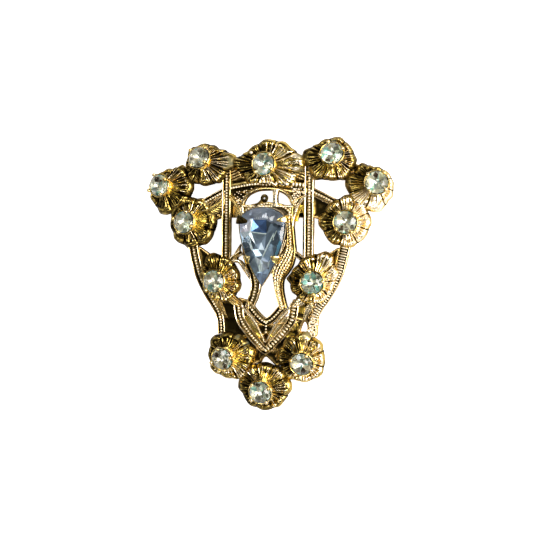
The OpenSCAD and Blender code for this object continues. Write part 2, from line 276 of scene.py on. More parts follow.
class MeshParts:
    """Collects closed shells and turns them into one mesh."""

    def __init__(self) -> None:
        """Starts with no shell."""
        self.points: list[np.ndarray] = []
        self.faces: list[Face] = []
        self.clean: list[np.ndarray] = []
        self.gilding: list[np.ndarray] = []
        self.count = 0

    def add(self, points: np.ndarray, faces: Iterable[Sequence[int]], clean: Values, gilding: Values = 0.0
            ) -> None:
        """Adds one shell.

        Args:
            points: its vertices, in brooch millimetres.
            faces: its faces, anticlockwise seen from outside.
            clean: how clean its metal is, from 0 for dark to 1 for bright; in some pieces it also holds
                painted light and painted shade.
            gilding: how yellow its gilding still is, from 0 to 1.
        """
        self.points.append(points)
        self.clean.append(np.broadcast_to(clean, len(points)))
        self.gilding.append(np.broadcast_to(gilding, len(points)))
        self.faces.extend(tuple(int(i) + self.count for i in f) for f in faces)
        self.count += len(points)

    def build(self, name: str, sharp: float) -> Object:
        """Makes the object, with how raised, clean and yellow it is on its vertices.

        Args:
            name: name of the object.
            sharp: angle in degrees above which an edge stays sharp.

        Returns:
            The object.
        """
        mesh = bpy.data.meshes.new(name)
        mesh.from_pydata(in_frame(np.vstack(self.points)).tolist(), [], self.faces)
        mesh.validate()
        store(mesh, PATINA_AND_LIGHT, np.concatenate(self.clean))
        store(mesh, GILDING, np.concatenate(self.gilding))
        mesh.shade_smooth()
        mesh.set_sharp_from_angle(angle=math.radians(sharp))
        store(mesh, RELIEF, relief_of(mesh))
        return add_object(name, mesh)


def grid_faces(rings: int, count: int) -> list[Face]:
    """Faces of rings of points, each ring further along the outward turn than the one before.

    Args:
        rings: how many rings there are.
        count: how many points each has.

    Returns:
        Quads between each ring and the next.
    """
    r, j = np.meshgrid(np.arange(rings - 1), np.arange(count), indexing="ij")
    k = (j + 1) % count
    quads = np.stack([r * count + j, (r + 1) * count + j, (r + 1) * count + k, r * count + k], -1)
    return [tuple(q) for q in quads.reshape(-1, 4).tolist()]


def closed_rings(rings: Sequence[np.ndarray], flip: bool = False) -> Solid:
    """A closed shell through rings of points, with a fan over the first ring and the last.

    Args:
        rings: rings with the same count of points, from the top down, anticlockwise seen from above.
        flip: True turns every face round.

    Returns:
        Its points and faces.
    """
    count = len(rings[0])
    points = np.vstack([*rings, np.mean(rings[0], 0)[None], np.mean(rings[-1], 0)[None]])
    faces = grid_faces(len(rings), count)
    top, bottom, last = len(points) - 2, len(points) - 1, (len(rings) - 1) * count
    faces += [(top, j, (j + 1) % count) for j in range(count)]
    faces += [(bottom, last + (j + 1) % count, last + j) for j in range(count)]
    return points, [f[::-1] for f in faces] if flip else faces


def swept(line: np.ndarray, section: np.ndarray) -> Solid:
    """A band with a cross section, swept along a line over the plate.

    Args:
        line: rows of x, y and half width.
        section: rows of place across, as a share of the half width, and height above the plate.

    Returns:
        Its points and faces.
    """
    beside = headings(line)[:, ::-1] * [-1, 1]
    rings = [np.column_stack([row[:2] + side * (row[2] * section[:, :1]), section[:, 1] + dome(row[0])])
             for row, side in zip(line, beside)]
    count = len(section)
    faces = grid_faces(len(rings), count)
    faces.append(tuple(range(count)))
    faces.append(tuple((len(rings) - 1) * count + j for j in reversed(range(count))))
    return np.vstack(rings), faces


def hull_outline(discs: Rows, sides: int = 20) -> np.ndarray:
    """The outline round some discs.

    Args:
        discs: x, y and radius of each.
        sides: how many points each disc gets.

    Returns:
        The outline's points, anticlockwise.
    """
    turns = full_turn(sides)
    cloud = sorted({(round(x + r * math.cos(a), 4), round(y + r * math.sin(a), 4))
                    for x, y, r in discs for a in turns})

    def half(points: Sequence[Point]) -> list[Point]:
        """One side of the outline.

        Args:
            points: the cloud, from one end to the other.

        Returns:
            The side's points.
        """
        out: list[Point] = []
        for p in points:
            while len(out) > 1 and ((out[-1][0] - out[-2][0]) * (p[1] - out[-2][1])
                                    <= (out[-1][1] - out[-2][1]) * (p[0] - out[-2][0])):
                out.pop()
            out.append(p)
        return out[:-1]

    return np.array(half(cloud) + half(cloud[::-1]))


class NodeLines:
    """Short ways to add nodes to a tree."""

    def __init__(self, tree: NodeTree) -> None:
        """Works on one tree."""
        self.tree = tree

    def feed(self, value: object, target: NodeSocket) -> None:
        """Joins an output to an input, or sets the input to a plain value.

        Args:
            value: the output or the plain value.
            target: the input.
        """
        if isinstance(value, NodeSocket):
            self.tree.links.new(value, target)
        else:
            target.default_value = value

    def fill(self, node: Node, **values: object) -> Node:
        """Sets a node's properties, and its inputs by name.

        Args:
            node: the node.
            values: properties, or inputs with an underscore for each space.

        Returns:
            The node.
        """
        for key, value in values.items():
            if hasattr(node, key):
                setattr(node, key, value)
            else:
                self.feed(value, node.inputs[key.replace("_", " ")])
        return node

    def node(self, kind: str, **values: object) -> Node:
        """Adds a node."""
        return self.fill(self.tree.nodes.new(kind), **values)

    def math(self, operation: str, a: object, b: object, clamp: bool = False) -> NodeSocket:
        """A Math node on outputs or numbers.

        Args:
            operation: its operation.
            a: first value.
            b: second value.
            clamp: True keeps the result between 0 and 1.

        Returns:
            Its output.
        """
        made = self.node("ShaderNodeMath", operation=operation, use_clamp=clamp)
        for value, target in zip((a, b), made.inputs):
            self.feed(value, target)
        return made.outputs[0]

    def mix(self, factor: object, a: object, b: object) -> NodeSocket:
        """A mix of two colours.

        Args:
            factor: share of b.
            a: first colour.
            b: second colour.

        Returns:
            The mixed colour.
        """
        made = self.node("ShaderNodeMix", data_type="RGBA")
        for value, target in ((factor, 0), (a, 6), (b, 7)):
            self.feed(value, made.inputs[target])
        return made.outputs[2]

    def ramp(self, value: NodeSocket, low: float, high: float) -> NodeSocket:
        """A soft step of a value."""
        return self.node("ShaderNodeMapRange", interpolation_type="SMOOTHSTEP", Value=value, From_Min=low,
                         From_Max=high).outputs["Result"]


def new_group(name: str, kind: str, inputs: dict[str, tuple[str, object]], outputs: dict[str, str]
              ) -> tuple[NodeLines, Node, Node]:
    """An empty node group.

    Args:
        name: its name.
        kind: its type of tree.
        inputs: kind and default of each input.
        outputs: kind of each output.

    Returns:
        The group's tree, its input node and its output node.
    """
    tree = bpy.data.node_groups.new(name, kind)
    for label, (socket, value) in inputs.items():
        made = tree.interface.new_socket(label, in_out="INPUT", socket_type=f"NodeSocket{socket}")
        if value is not None:
            made.default_value = value
    for label, socket in outputs.items():
        tree.interface.new_socket(label, in_out="OUTPUT", socket_type=f"NodeSocket{socket}")
    lines = NodeLines(tree)
    return lines, lines.node("NodeGroupInput"), lines.node("NodeGroupOutput")


def wear_and_light_group() -> NodeTree:
    """The wear that all the brooch's metal shares, dark in the grooves and worn bright on the edges, with the
    painted light and painted shade that come in through its cleanness input.

    Returns:
        The group, with the colours and amounts as inputs.
    """
    name = "antique wear and painted light"
    if name in bpy.data.node_groups:
        return bpy.data.node_groups[name]
    amounts = {"Relief": 0.5, "Patina_And_Light": 1.0, "Gilding": 0.0, "Stain": 0.0, "Verdigris Share": 0.1,
               "Polish": 0.2, "Matt": 0.4}
    inputs = {"Position": ("Vector", (0, 0, 0))}
    inputs |= {label: ("Float", value) for label, value in amounts.items()}
    inputs |= {label: ("Color", (0, 0, 0, 1)) for label in ("Groove", "Field", "Edge", "Gilt", "Verdigris")}
    outputs = {"Color": "Color", "Roughness": "Float", "Metallic": "Float", "Height": "Float"}
    s, inner, outer = new_group(name, "ShaderNodeTree", inputs, outputs)
    read = inner.outputs
    times, plus, less = (partial(s.math, operation) for operation in ("MULTIPLY", "ADD", "SUBTRACT"))
    blotch, grain, spots = (
        s.node("ShaderNodeTexNoise", Vector=read["Position"], Scale=scale, Detail=detail,
               Roughness=rough).outputs["Fac"]
        for scale, detail, rough in ((520.0, 5.0, 0.65), (3600.0, 2.0, 0.6), (300.0, 3.0, 0.55)))
    level = plus(plus(read["Patina_And_Light"], times(less(read["Relief"], 0.5), 0.8)), times(less(blotch, 0.5), 0.9))
    clean = s.ramp(level, 0.12, 0.52)
    bright = s.ramp(level, 0.62, 1.1)
    bare = less(1.0, times(read["Gilding"], 0.6))
    colour = s.mix(clean, read["Groove"], read["Field"])
    colour = s.mix(times(read["Gilding"], clean), colour, read["Gilt"])
    colour = s.mix(times(bright, bare), colour, read["Edge"])
    low = less(1.0, s.ramp(read["Relief"], 0.5, 0.8))
    spotted = times(less(spots, less(0.76, read["Verdigris Share"])), 14.0, clamp=True)
    stained = times(read["Stain"], s.ramp(blotch, 0.36, 0.56))
    green = s.math("MAXIMUM", times(spotted, low, clamp=True), times(stained, less(0.9, bright), clamp=True))
    colour = s.mix(times(green, 0.85), colour, read["Verdigris"])
    rough = plus(plus(read["Polish"], times(less(1.0, clean), 0.22)), times(green, 0.35), clamp=True)
    matt = times(times(s.ramp(level, 0.8, 1.3), read["Matt"]), bare)
    metal = less(less(1.0, matt), times(green, 0.8), clamp=True)
    bump = plus(times(grain, 0.35), blotch)
    s.fill(outer, Color=colour, Roughness=rough, Metallic=metal, Height=bump)
    return s.tree


def principled(name: str, **values: object) -> tuple[Material, NodeLines, Node]:
    """A new material.

    Args:
        name: its name.
        values: what its Principled shader is filled with.

    Returns:
        The material, its tree and its Principled shader.
    """
    made = bpy.data.materials.new(name)
    made.use_nodes = True
    lines = NodeLines(made.node_tree)
    return made, lines, lines.fill(made.node_tree.nodes["Principled BSDF"], **values)


@dataclass(frozen=True)
class GiltBrass:
    """Antique gilt brass that is dark in its grooves and worn bright on its edges, with painted light and
    painted shade where its vertices carry them.
    """

    name: str
    groove: Row = (0.016, 0.010, 0.002)
    field_colour: Row = (0.50, 0.355, 0.09)
    edge: Row = (1.0, 0.87, 0.64)
    gilt: Row = (0.88, 0.63, 0.10)
    verdigris: Row = (0.075, 0.095, 0.065)
    verdigris_share: float = 0.1
    polish: float = 0.22
    matt: float = 0.4
    bump: float = 0.12
    bump_depth: float = 0.04

    def material(self) -> Material:
        """Builds the material.

        Returns:
            The material.
        """
        made, s, body = principled(self.name)
        wear = s.node("ShaderNodeGroup", node_tree=wear_and_light_group(), Verdigris_Share=self.verdigris_share,
                      Groove=(*self.groove, 1), Field=(*self.field_colour, 1), Edge=(*self.edge, 1),
                      Gilt=(*self.gilt, 1), Verdigris=(*self.verdigris, 1), Polish=self.polish,
                      Matt=self.matt, Position=s.node("ShaderNodeTexCoord").outputs["Object"])
        for name in (RELIEF, PATINA_AND_LIGHT, GILDING, STAIN):
            read = s.node("ShaderNodeAttribute", attribute_name=name)
            s.feed(read.outputs["Fac"], wear.inputs[name.title()])
        bump = s.node("ShaderNodeBump", Strength=self.bump, Distance=self.bump_depth * MM,
                      Height=wear.outputs["Height"])
        s.fill(body, Base_Color=wear.outputs["Color"], Roughness=wear.outputs["Roughness"],
               Metallic=wear.outputs["Metallic"], Normal=bump.outputs["Normal"])
        return made


@dataclass(frozen=True)
class CutGlass:
    """Clear cut glass over a foiled back."""

    name: str
    tint: Row = (0.97, 0.98, 0.95)
    ior: float = 1.55
    roughness: float = 0.02

    def material(self) -> Material:
        """Builds the material."""
        return principled(self.name, Base_Color=(*self.tint, 1), Roughness=self.roughness, IOR=self.ior,
                          Transmission_Weight=1.0)[0]


class FoilTint(Enum):
    """Colours that the foiled facets of the stones take: tints of the foil and its coating, and pale and dark
    ones as painted reflections.
    """

    PALE = (0.98, 1.0, 0.86)
    CREAM = (1.0, 0.95, 0.76)
    TEAL = (0.37, 0.74, 0.69)
    GREY = (0.42, 0.41, 0.34)
    SMOKE = (0.14, 0.11, 0.08)
    DEEP_BLUE = (0.11, 0.20, 0.40)
    STEEL = (0.17, 0.22, 0.26)
    SLATE = (0.35, 0.45, 0.55)
    MIST = (0.80, 0.90, 0.95)
    ICE = (0.64, 0.76, 0.90)
    LILAC = (0.84, 0.84, 0.93)
    SKY = (0.30, 0.72, 0.90)
    LINE = (0.86, 0.97, 0.88)


@dataclass(frozen=True)
class Foil:
    """Mirror foil behind a stone, with its own tint for each facet."""

    name: str
    roughness: float

    def material(self) -> Material:
        """Builds the material.

        Returns:
            The material.
        """
        made, s, body = principled(self.name, Roughness=self.roughness)
        facet = s.node("ShaderNodeAttribute", attribute_name=TINT)
        s.fill(body, Base_Color=facet.outputs["Color"], Metallic=facet.outputs["Alpha"])
        return made


DARK_GROOVE = (0.02, 0.013, 0.003)


class Finish(Enum):
    """Every material of the brooch."""

    PETALS = GiltBrass("antique gilt petals")
    RAILS = GiltBrass("antique gilt rails", field_colour=(0.54, 0.39, 0.13), edge=(1.0, 0.86, 0.60),
                      verdigris_share=0.03, polish=0.27, matt=0.3)
    WEBS = GiltBrass("dark gilt webs", (0.016, 0.011, 0.003), (0.30, 0.19, 0.045), (0.8, 0.56, 0.24),
                     verdigris_share=0.06, polish=0.26)
    # The beads' gold, lighter than the rest, is a painted highlight
    BEADS = GiltBrass("bright gilt beads", DARK_GROOVE, (0.90, 0.72, 0.44), (1.0, 0.94, 0.80),
                      verdigris_share=0.0, polish=0.36, matt=0.8)
    CUPS = GiltBrass("bright gilt cups", DARK_GROOVE, (0.70, 0.50, 0.16), (1.0, 0.94, 0.82),
                     verdigris_share=0.0, polish=0.26)
    CLIP = GiltBrass("gilt clip sheet", (0.10, 0.07, 0.02), (0.60, 0.42, 0.15), (0.95, 0.74, 0.42),
                     verdigris_share=0.05, polish=0.24)
    CLEAR_GLASS = CutGlass("clear cut glass")
    BLUE_GLASS = CutGlass("pale blue cut glass", (0.90, 0.94, 0.98))
    CLEAR_FOIL = Foil("clear stone foil", 0.3)
    BLUE_FOIL = Foil("blue stone foil", 0.28)

    def material(self) -> Material:
        """Builds the material once, and finds it again afterwards."""
        return bpy.data.materials.get(self.value.name) or self.value.material()


def dress(piece: Object, slot: str, node: str, *finishes: Finish) -> None:
    """Gives a piece its materials and ties it to the frame.

    Args:
        piece: the finished piece.
        slot: the record's material slot; not used.
        node: the node of the frame that it stands for.
        finishes: its materials.
    """
    slots = piece.data.materials
    for i, finish in enumerate(finishes):
        if i < len(slots):
            slots[i] = finish.material()
        else:
            slots.append(finish.material())
    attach(piece, "root")
    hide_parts(node)
    LOG.info("%s: %d faces", piece.name, len(piece.data.polygons))


# x, y and reach of the grey-green patches of old verdigris
STAINS = ((2.7, 20.7, 1.0), (6.0, 20.2, 1.0), (6.1, 17.6, 1.1), (-7.6, 19.2, 1.6), (-11.7, 12.1, 1.1),
          (-10.2, 10.3, 1.1), (-5.2, -13.1, 0.6), (-3.6, -14.3, 0.7), (8.1, -12.5, 1.0), (12.4, 22.6, 0.9))
STAIN_CORE = 0.45


@dataclass
class Flower:
    """A stamped flower with its cup and stone, leaning outwards."""

    name: str
    x: float
    y: float
    lean: float
    toward: float
    prong_turn: float
    seed: int
    glow: float
    glow_way: float
    ridge_reach: float
    # Strength of the painted light on the petals, most on the lower right side
    painted_light_gain: float
    # Direction in degrees of the side painted in shade
    shade_way: float
    # Direction and length of each petal in turn, for a left-hand flower as seen in a mirror
    petals: Sequence[float]
    stem_r: float = 1.32
    stem_z: float = 1.0
    notch: float = 0.07
    ridge_h: float = 0.23
    wrinkle: float = 0.05
    ridges: int = 6
    angles: int = 384
    # The uneven hammering: degrees between its lumps, rows of lumps, and the last row that is read
    lump_step: int = 5
    lump_rows: int = 9
    last_lump_row: float = 7.99
    # Share of the way out, and height, of the rings that turn in under the rim
    rim_rings: Sequence[Point] = ((0.995, -0.2), (0.975, -0.5), (0.92, -0.78))
    rim_clean: float = 0.24
    rim_gilding: float = 0.3
    # Share of the way from the stem to the rim, and height
    knots: Sequence[Point] = ((0.0, 1.15), (0.06, 1.13), (0.14, 1.0), (0.28, 0.8), (0.42, 0.68),
                              (0.54, 0.66), (0.64, 0.74), (0.73, 0.83), (0.8, 0.82), (0.87, 0.68),
                              (0.93, 0.44), (0.97, 0.14), (1.0, -0.2))

    def placed(self, points: np.ndarray) -> np.ndarray:
        """Points of the leaning frame, on the brooch.

        Args:
            points: points about the flower's foot, z along the stone's axis.

        Returns:
            The same points in brooch millimetres.
        """
        a = math.radians(self.toward)
        turn = np.array(Matrix.Rotation(math.radians(self.lean), 3, Vector((-math.sin(a), math.cos(a), 0))))
        return points @ turn.T + [self.x, self.y, float(dome(self.x))]

    def blossom(self) -> Shell:
        """The stamped petals as one closed shell.

        Returns:
            Its points, its faces, how clean and how yellow each point's metal is, with painted light and
            painted shade added to the cleanness.
        """
        rng = np.random.default_rng(self.seed)
        way, length = np.reshape(self.petals, (-1, 2)).T
        way = (180 - way if self.name.endswith("left") else way) % 360
        order = np.argsort(way, kind="stable")
        way, length = way[order], length[order]
        # For each angle the nearest petal, and its place beside that petal's middle, from -1 to 1
        turns = np.arange(self.angles) * 360 / self.angles
        gap = (np.roll(way, -1) - way) % 360
        away = turns[:, None] - way
        spans = np.where(away % 360 < 180, gap, np.roll(gap, 1))
        near = np.argmin(np.abs((away + 180) % 360 - 180) / spans, axis=1)
        off = (turns - way[near] + 180) % 360 - 180
        half = np.where(off >= 0, gap[near], np.roll(gap, 1)[near]) / 2
        side = off / half
        # How far out the rim lies, with a notch between the petals
        reach = length[near] * (1 - self.notch * np.abs(side) ** 2.4)
        other = np.where(off >= 0, (near + 1) % len(way), (near - 1) % len(way))
        blend = smoothstep(0.3, 1.0, np.abs(side)) * 0.5
        reach = reach * (1 - blend) + length[other] * (1 - self.notch) * blend
        lobes = rng.uniform(0.8, 1.25, len(way))
        shares = np.concatenate([np.linspace(0, 0.1, 3)[:-1], np.linspace(0.1, 0.66, 14)[:-1],
                                 np.linspace(0.66, 1.0, 12)])
        knots = np.array(self.knots)
        base = np.interp(shares, knots[:, 0], knots[:, 1])
        # Every petal's own ridges, brightness and twist
        shape = (len(way), self.ridges)
        spread = (np.arange(self.ridges) - (self.ridges - 1) / 2) * (1.74 / self.ridges)
        ridge_at = spread[None] + rng.normal(0, 0.06, shape)
        ridge_gain = rng.uniform(0.2, 1.25, shape)
        ridge_end = self.ridge_reach + rng.uniform(-0.1, 0.1, (len(way), 1)) + rng.uniform(-0.05, 0.05, shape)
        ridge_end = np.clip(ridge_end, 0.5, 0.97)
        shadow = rng.uniform(0.0, 0.16, len(way))[near]
        crest = rng.uniform(0.25, 0.6, len(way))[near]
        twist = rng.uniform(-0.17, 0.17, len(way))[near] * side + rng.uniform(-0.1, 0.12, len(way))[near]
        # Where its gilding glows, where painted light falls, most on the lower right, and which side is
        # painted in shade
        inward = np.clip(np.cos(np.radians(turns - self.glow_way)), 0, 1) ** 1.5
        lit = self.painted_light_gain * (0.25 + 0.75 * np.clip(0.55 + 0.8 * np.cos(np.radians(turns + 35)), 0, 1))
        shade = np.clip(np.cos(np.radians(turns - self.shade_way)) + 0.1, 0, 1) ** 0.8
        columns = 360 // self.lump_step + 1
        lumps = rng.normal(0, self.wrinkle, (self.lump_rows, columns))
        lumps[:, -1] = lumps[:, 0]
        rings = []
        clean = []
        gilding = []
        for share, height in zip(shares, base):
            r = self.stem_r + (reach - self.stem_r) * share
            pillow = 0.34 * np.abs(side) ** 2.0 * smoothstep(0.15, 0.7, share) * lobes[near]
            crease = 0.2 * np.exp(-((1 - np.abs(side)) / 0.07) ** 2) * smoothstep(0.05, 0.3, share)
            lift = np.zeros(self.angles)
            for k in range(self.ridges):
                peak = np.clip(1 - np.abs(side - ridge_at[near, k]) / (0.115 + 0.02 * share), 0, 1)
                end = ridge_end[near, k]
                fade = smoothstep(0.0, 0.14, share) * (1 - smoothstep(end - 0.14, end, share))
                lift = np.maximum(lift, peak * fade * ridge_gain[near, k])
            low, part = divmod(share * self.last_lump_row, 1)
            row = lumps[int(low)] * (1 - part) + lumps[int(low) + 1] * part
            rough = np.interp(turns / self.lump_step, np.arange(columns), row) * smoothstep(0.1, 0.4, share)
            z = height - pillow - crease + self.ridge_h * lift + twist * smoothstep(0.2, 0.8, share) + rough
            rings.append(self.leaned(r, turns, z, 1 - 0.7 * share))
            # How clean and how yellow the ring is, with painted light, a painted highlight on the broad
            # middle and the rim, and painted shade
            rim = smoothstep(0.62, 0.74, share) * (1 - smoothstep(0.8, 0.92, share))
            ground = shadow - 0.06 + 0.4 * (1 - smoothstep(0.0, 0.16, share))
            ground = ground + 0.35 * inward * (1 - smoothstep(0.4, 0.7, share)) * self.glow
            broad = float(smoothstep(0.22, 0.4, share) * (1 - smoothstep(0.86, 0.96, share)))
            level = np.maximum(ground, 0.95 * lift) + lit + 1.4 * np.maximum(lit, 0) * broad
            level = np.maximum(level, (crest + 1.4 * lit) * rim)
            level = level - (0.3 + 1.2 * np.maximum(lit, 0)) * (crease / 0.2)
            level = np.where(share > 0.88, np.minimum(level, 0.34 + lit), level)
            level = level * (1 - 0.68 * shade * smoothstep(0.04, 0.2, share))
            clean.append(np.clip(level, 0.02, 1.2))
            glowing = smoothstep(0.02, 0.12, share) * (1 - smoothstep(0.5, 0.72, share))
            gilding.append(self.glow * inward * glowing)
        for share, z in self.rim_rings:
            r = self.stem_r + (reach - self.stem_r) * share
            rings.append(self.leaned(r, turns, np.full(self.angles, z), 0.3))
            clean.append(np.full(self.angles, self.rim_clean))
            gilding.append(np.full(self.angles, self.rim_gilding))
        points, faces = closed_rings(rings)
        return points, faces, np.concatenate([*clean, [0.4, 0.1]]), np.concatenate([*gilding, [0, 0]])

    def leaned(self, r: np.ndarray, turns: np.ndarray, z: Values, share: float) -> np.ndarray:
        """A ring of petal points, with part of the flower's lean.

        Args:
            r: radius of each point.
            turns: its angle in degrees.
            z: its height.
            share: how much of the lean it has.

        Returns:
            The ring on the brooch.
        """
        a, lean, toward = np.radians(turns), math.radians(self.lean), math.radians(self.toward)
        z = z - r * np.cos(a - toward) * (math.tan(lean) * share)
        tilt = math.sin(lean) * share * self.stem_z
        out = np.column_stack([r * np.cos(a), r * np.sin(a), z])
        out[:, 0] += tilt * math.cos(toward)
        out[:, 1] += tilt * math.sin(toward)
        return out + [self.x, self.y, float(dome(self.x))]

    def build(self, cup: "RoundCup", cut: "RoundCut") -> None:
        """Makes the petals, the cup with its claws, and the stone.

        Args:
            cup: sizes of the cup.
            cut: sizes of the stone.
        """
        parts = MeshParts()
        parts.add(*self.blossom())
        petals = parts.build(f"flower_{self.name}", 60)
        flat = read_vertices(petals.data, "co")[:, :2] / MM - [0, ORIGIN_Y]
        store(petals.data, STAIN, nearness(flat, STAINS, STAIN_CORE))
        dress(petals, "gilt_brass", "frame", Finish.PETALS)
        parts = MeshParts()
        for points, *rest in cup.shells(self.prong_turn, self.seed):
            parts.add(self.placed(points), *rest)
        dress(parts.build(f"cup_{self.name}", 50), "bright_brass", f"setting_{self.name}", Finish.CUPS)
        points, faces, tints = cut.facets(self.seed)
        stone = stone_piece(f"glass_{self.name}", self.placed(points), faces, tints, cut.line)
        dress(stone, "clear_glass", f"stone_{self.name}", Finish.CLEAR_GLASS, Finish.CLEAR_FOIL)


@dataclass
class RoundCup:
    """A flaring cup with four claws over the girdle of a round stone."""

    sides: int = 56
    claw_sides: int = 12
    claw_r: float = 0.2
    bead_r: float = 0.37
    claws: int = 4
    first_seed: int = 500
    # Radius and height
    profile: Sequence[Point] = ((0.4, 1.3), (1.75, 2.12), (2.03, 2.55), (2.12, 2.68), (2.19, 2.71),
                                (2.25, 2.67), (2.26, 2.58), (2.20, 2.44), (2.04, 2.2), (1.82, 1.86),
                                (1.62, 1.52), (1.5, 1.28), (1.46, 1.14), (1.36, 1.07))

    def shells(self, turn: float, seed: int) -> list[Shell]:
        """The cup and its claws.

        Args:
            turn: turn of the first claw in degrees.
            seed: seed of the claws' small differences.

        Returns:
            Points, faces, cleanness and gilding of each shell.
        """
        rng = np.random.default_rng(seed + self.first_seed)
        a = full_turn(self.sides)
        rings = [np.column_stack([r * np.cos(a), r * np.sin(a), np.full(self.sides, z)])
                 for r, z in self.profile]
        out = [(*closed_rings(rings), 0.4, 0.7)]
        for k in range(self.claws):
            way = math.radians(turn + 360 // self.claws * k + rng.uniform(-4, 4))
            out.append((*self.claw(way, rng.uniform(0.92, 1.1)), 1.1, 0.0))
        return out

    def claw(self, way: float, size: float) -> Solid:
        """One claw that ends in a bead over the stone.

        Args:
            way: its direction in radians.
            size: a factor on its bead.

        Returns:
            Its points and faces.
        """
        bead = self.bead_r * size
        line = np.array([(2.02, 1.75, 0.10), (2.12, 2.0, 0.19), (2.24, 2.45, self.claw_r),
                         (2.28, 2.85, self.claw_r), (2.23, 3.12, self.claw_r), (2.17, 3.24, bead * 0.8),
                         (2.09, 3.33, bead), (1.97, 3.38, bead * 0.98), (1.86, 3.39, bead * 0.78),
                         (1.77, 3.39, bead * 0.35)])
        a = full_turn(self.claw_sides)
        rings = []
        for (x, z, r), (dx, dz) in zip(line, headings(line)):
            px = x + r * np.cos(a) * -dz
            py = r * np.sin(a)
            rings.append(np.column_stack([px * math.cos(way) - py * math.sin(way),
                                          px * math.sin(way) + py * math.cos(way), z + r * np.cos(a) * dx]))
        return closed_rings(rings, flip=True)


def stone_piece(name: str, points: np.ndarray, faces: Sequence[Face], tints: Sequence[FoilTint], line: float
                ) -> Object:
    """A stone with flat facets, glass in front and foil behind.

    Args:
        name: name of the piece.
        points: corners in brooch millimetres.
        faces: facets, turned either way, the foiled ones last.
        tints: tint of each foiled facet.
        line: width of the pale line round each foiled facet, a painted highlight along its edges.

    Returns:
        The object.
    """
    crown_bevel, highlight_line_metal = 0.035, 0.35
    glass = len(faces) - len(tints)
    middle = points.mean(0)
    turned = []
    for face in faces:
        corners = points[list(face)]
        normal = np.cross(corners, np.roll(corners, -1, axis=0)).sum(0)
        turned.append(face if np.dot(normal, corners.mean(0) - middle) > 0 else face[::-1])
    mesh = bpy.data.meshes.new(name)
    mesh.from_pydata(in_frame(points).tolist(), [], turned)
    layer = mesh.attributes.new(TINT, "FLOAT_COLOR", "FACE")
    layer.data.foreach_set("color", [v for tint in [FoilTint.PALE] * glass + list(tints)
                                     for v in (*tint.value, highlight_line_metal if tint == FoilTint.LINE else 1.0)])
    mesh.polygons.foreach_set("material_index", [int(i >= glass) for i in range(len(faces))])
    cut = bmesh.new()
    cut.from_mesh(mesh)
    crown = [e for e in cut.edges if all(f.material_index == 0 for f in e.link_faces)]
    bmesh.ops.bevel(cut, geom=crown, offset=crown_bevel * MM, segments=1, affect="EDGES", clamp_overlap=True)
    # Painted highlight: a pale line round each foiled facet, along its edges
    if line:
        colour = cut.faces.layers.float_color[TINT]
        backs = [f for f in cut.faces if f.material_index == 1]
        inset = bmesh.ops.inset_individual(cut, faces=backs, thickness=line * MM, use_even_offset=True)
        for f in inset["faces"]:
            f[colour] = (*FoilTint.PALE.value, 1.0)
    cut.to_mesh(mesh)
    cut.free()
    mesh.shade_flat()
    return add_object(name, mesh)


def crown_faces(n: int) -> list[Face]:
    """The facets of a stone from its table down to the lower edge of its girdle.

    Args:
        n: corners of the table. The next n corners are the kites', then come 2n each for the girdle's edges.

    Returns:
        The facets.
    """
    kite, top, low = n, 2 * n, 4 * n
    faces = [tuple(range(n))]
    for i in range(n):
        first, second, third = top + 2 * i, top + 2 * i + 1, top + (2 * i + 2) % (2 * n)
        faces += [(i, kite + i, (i + 1) % n), (i, kite + (i - 1) % n, first, kite + i),
                  (kite + i, first, second), (kite + i, second, third)]
    return faces + [(top + i, top + (i + 1) % (2 * n), low + (i + 1) % (2 * n), low + i)
                    for i in range(2 * n)]


@dataclass
class RoundCut:
    """A round foiled stone with a table, star and kite facets, and a pointed back."""

    girdle_z: float = 2.8
    line: float = 0.03
    first_seed: int = 900
    # Corners, radius, height above the girdle and turn of each ring, from the table to the tip
    rings: Rows = ((8, 1.1, 0.72, 0), (8, 1.62, 0.42, 0.5), (16, 2.0, 0.05, 0), (16, 2.0, -0.05, 0),
                   (8, 1.24, -0.6, 0.5), (8, 0.6, -1.07, 0), (1, 0, -1.35, 0))
    tints: Sequence[FoilTint] = (FoilTint.PALE, FoilTint.PALE, FoilTint.CREAM, FoilTint.CREAM,
                                 FoilTint.TEAL, FoilTint.GREY, FoilTint.GREY, FoilTint.SMOKE, FoilTint.MIST)

    def facets(self, seed: int) -> tuple[np.ndarray, list[Face], list[FoilTint]]:
        """The stone about its flower's foot.

        Args:
            seed: seed of its turn and its tints.

        Returns:
            Its corners, its facets with the foiled ones last, and their tints.
        """
        rng = np.random.default_rng(seed + self.first_seed)
        turn = rng.uniform(0, 45)
        points = []
        for count, r, z, shift in self.rings:
            for i in range(count):
                a = math.radians(turn + (i + shift) * 360 / count)
                points.append((r * math.cos(a), r * math.sin(a), self.girdle_z + z))
        faces = crown_faces(8)
        low, mid, back, tip = 32, 48, 56, 64
        foil: list[Face] = []
        for i in range(8):
            j = (i + 1) % 8
            first, second, third = low + 2 * i, low + 2 * i + 1, low + (2 * i + 2) % 16
            foil += [(first, second, mid + i), (second, third, mid + i), (third, mid + i, back + j, mid + j),
                     (mid + i, back + i, back + j), (back + i, tip, back + j)]
        tints = [self.tints[i] for i in rng.integers(0, len(self.tints), len(foil))]
        return np.array(points), faces + foil, tints


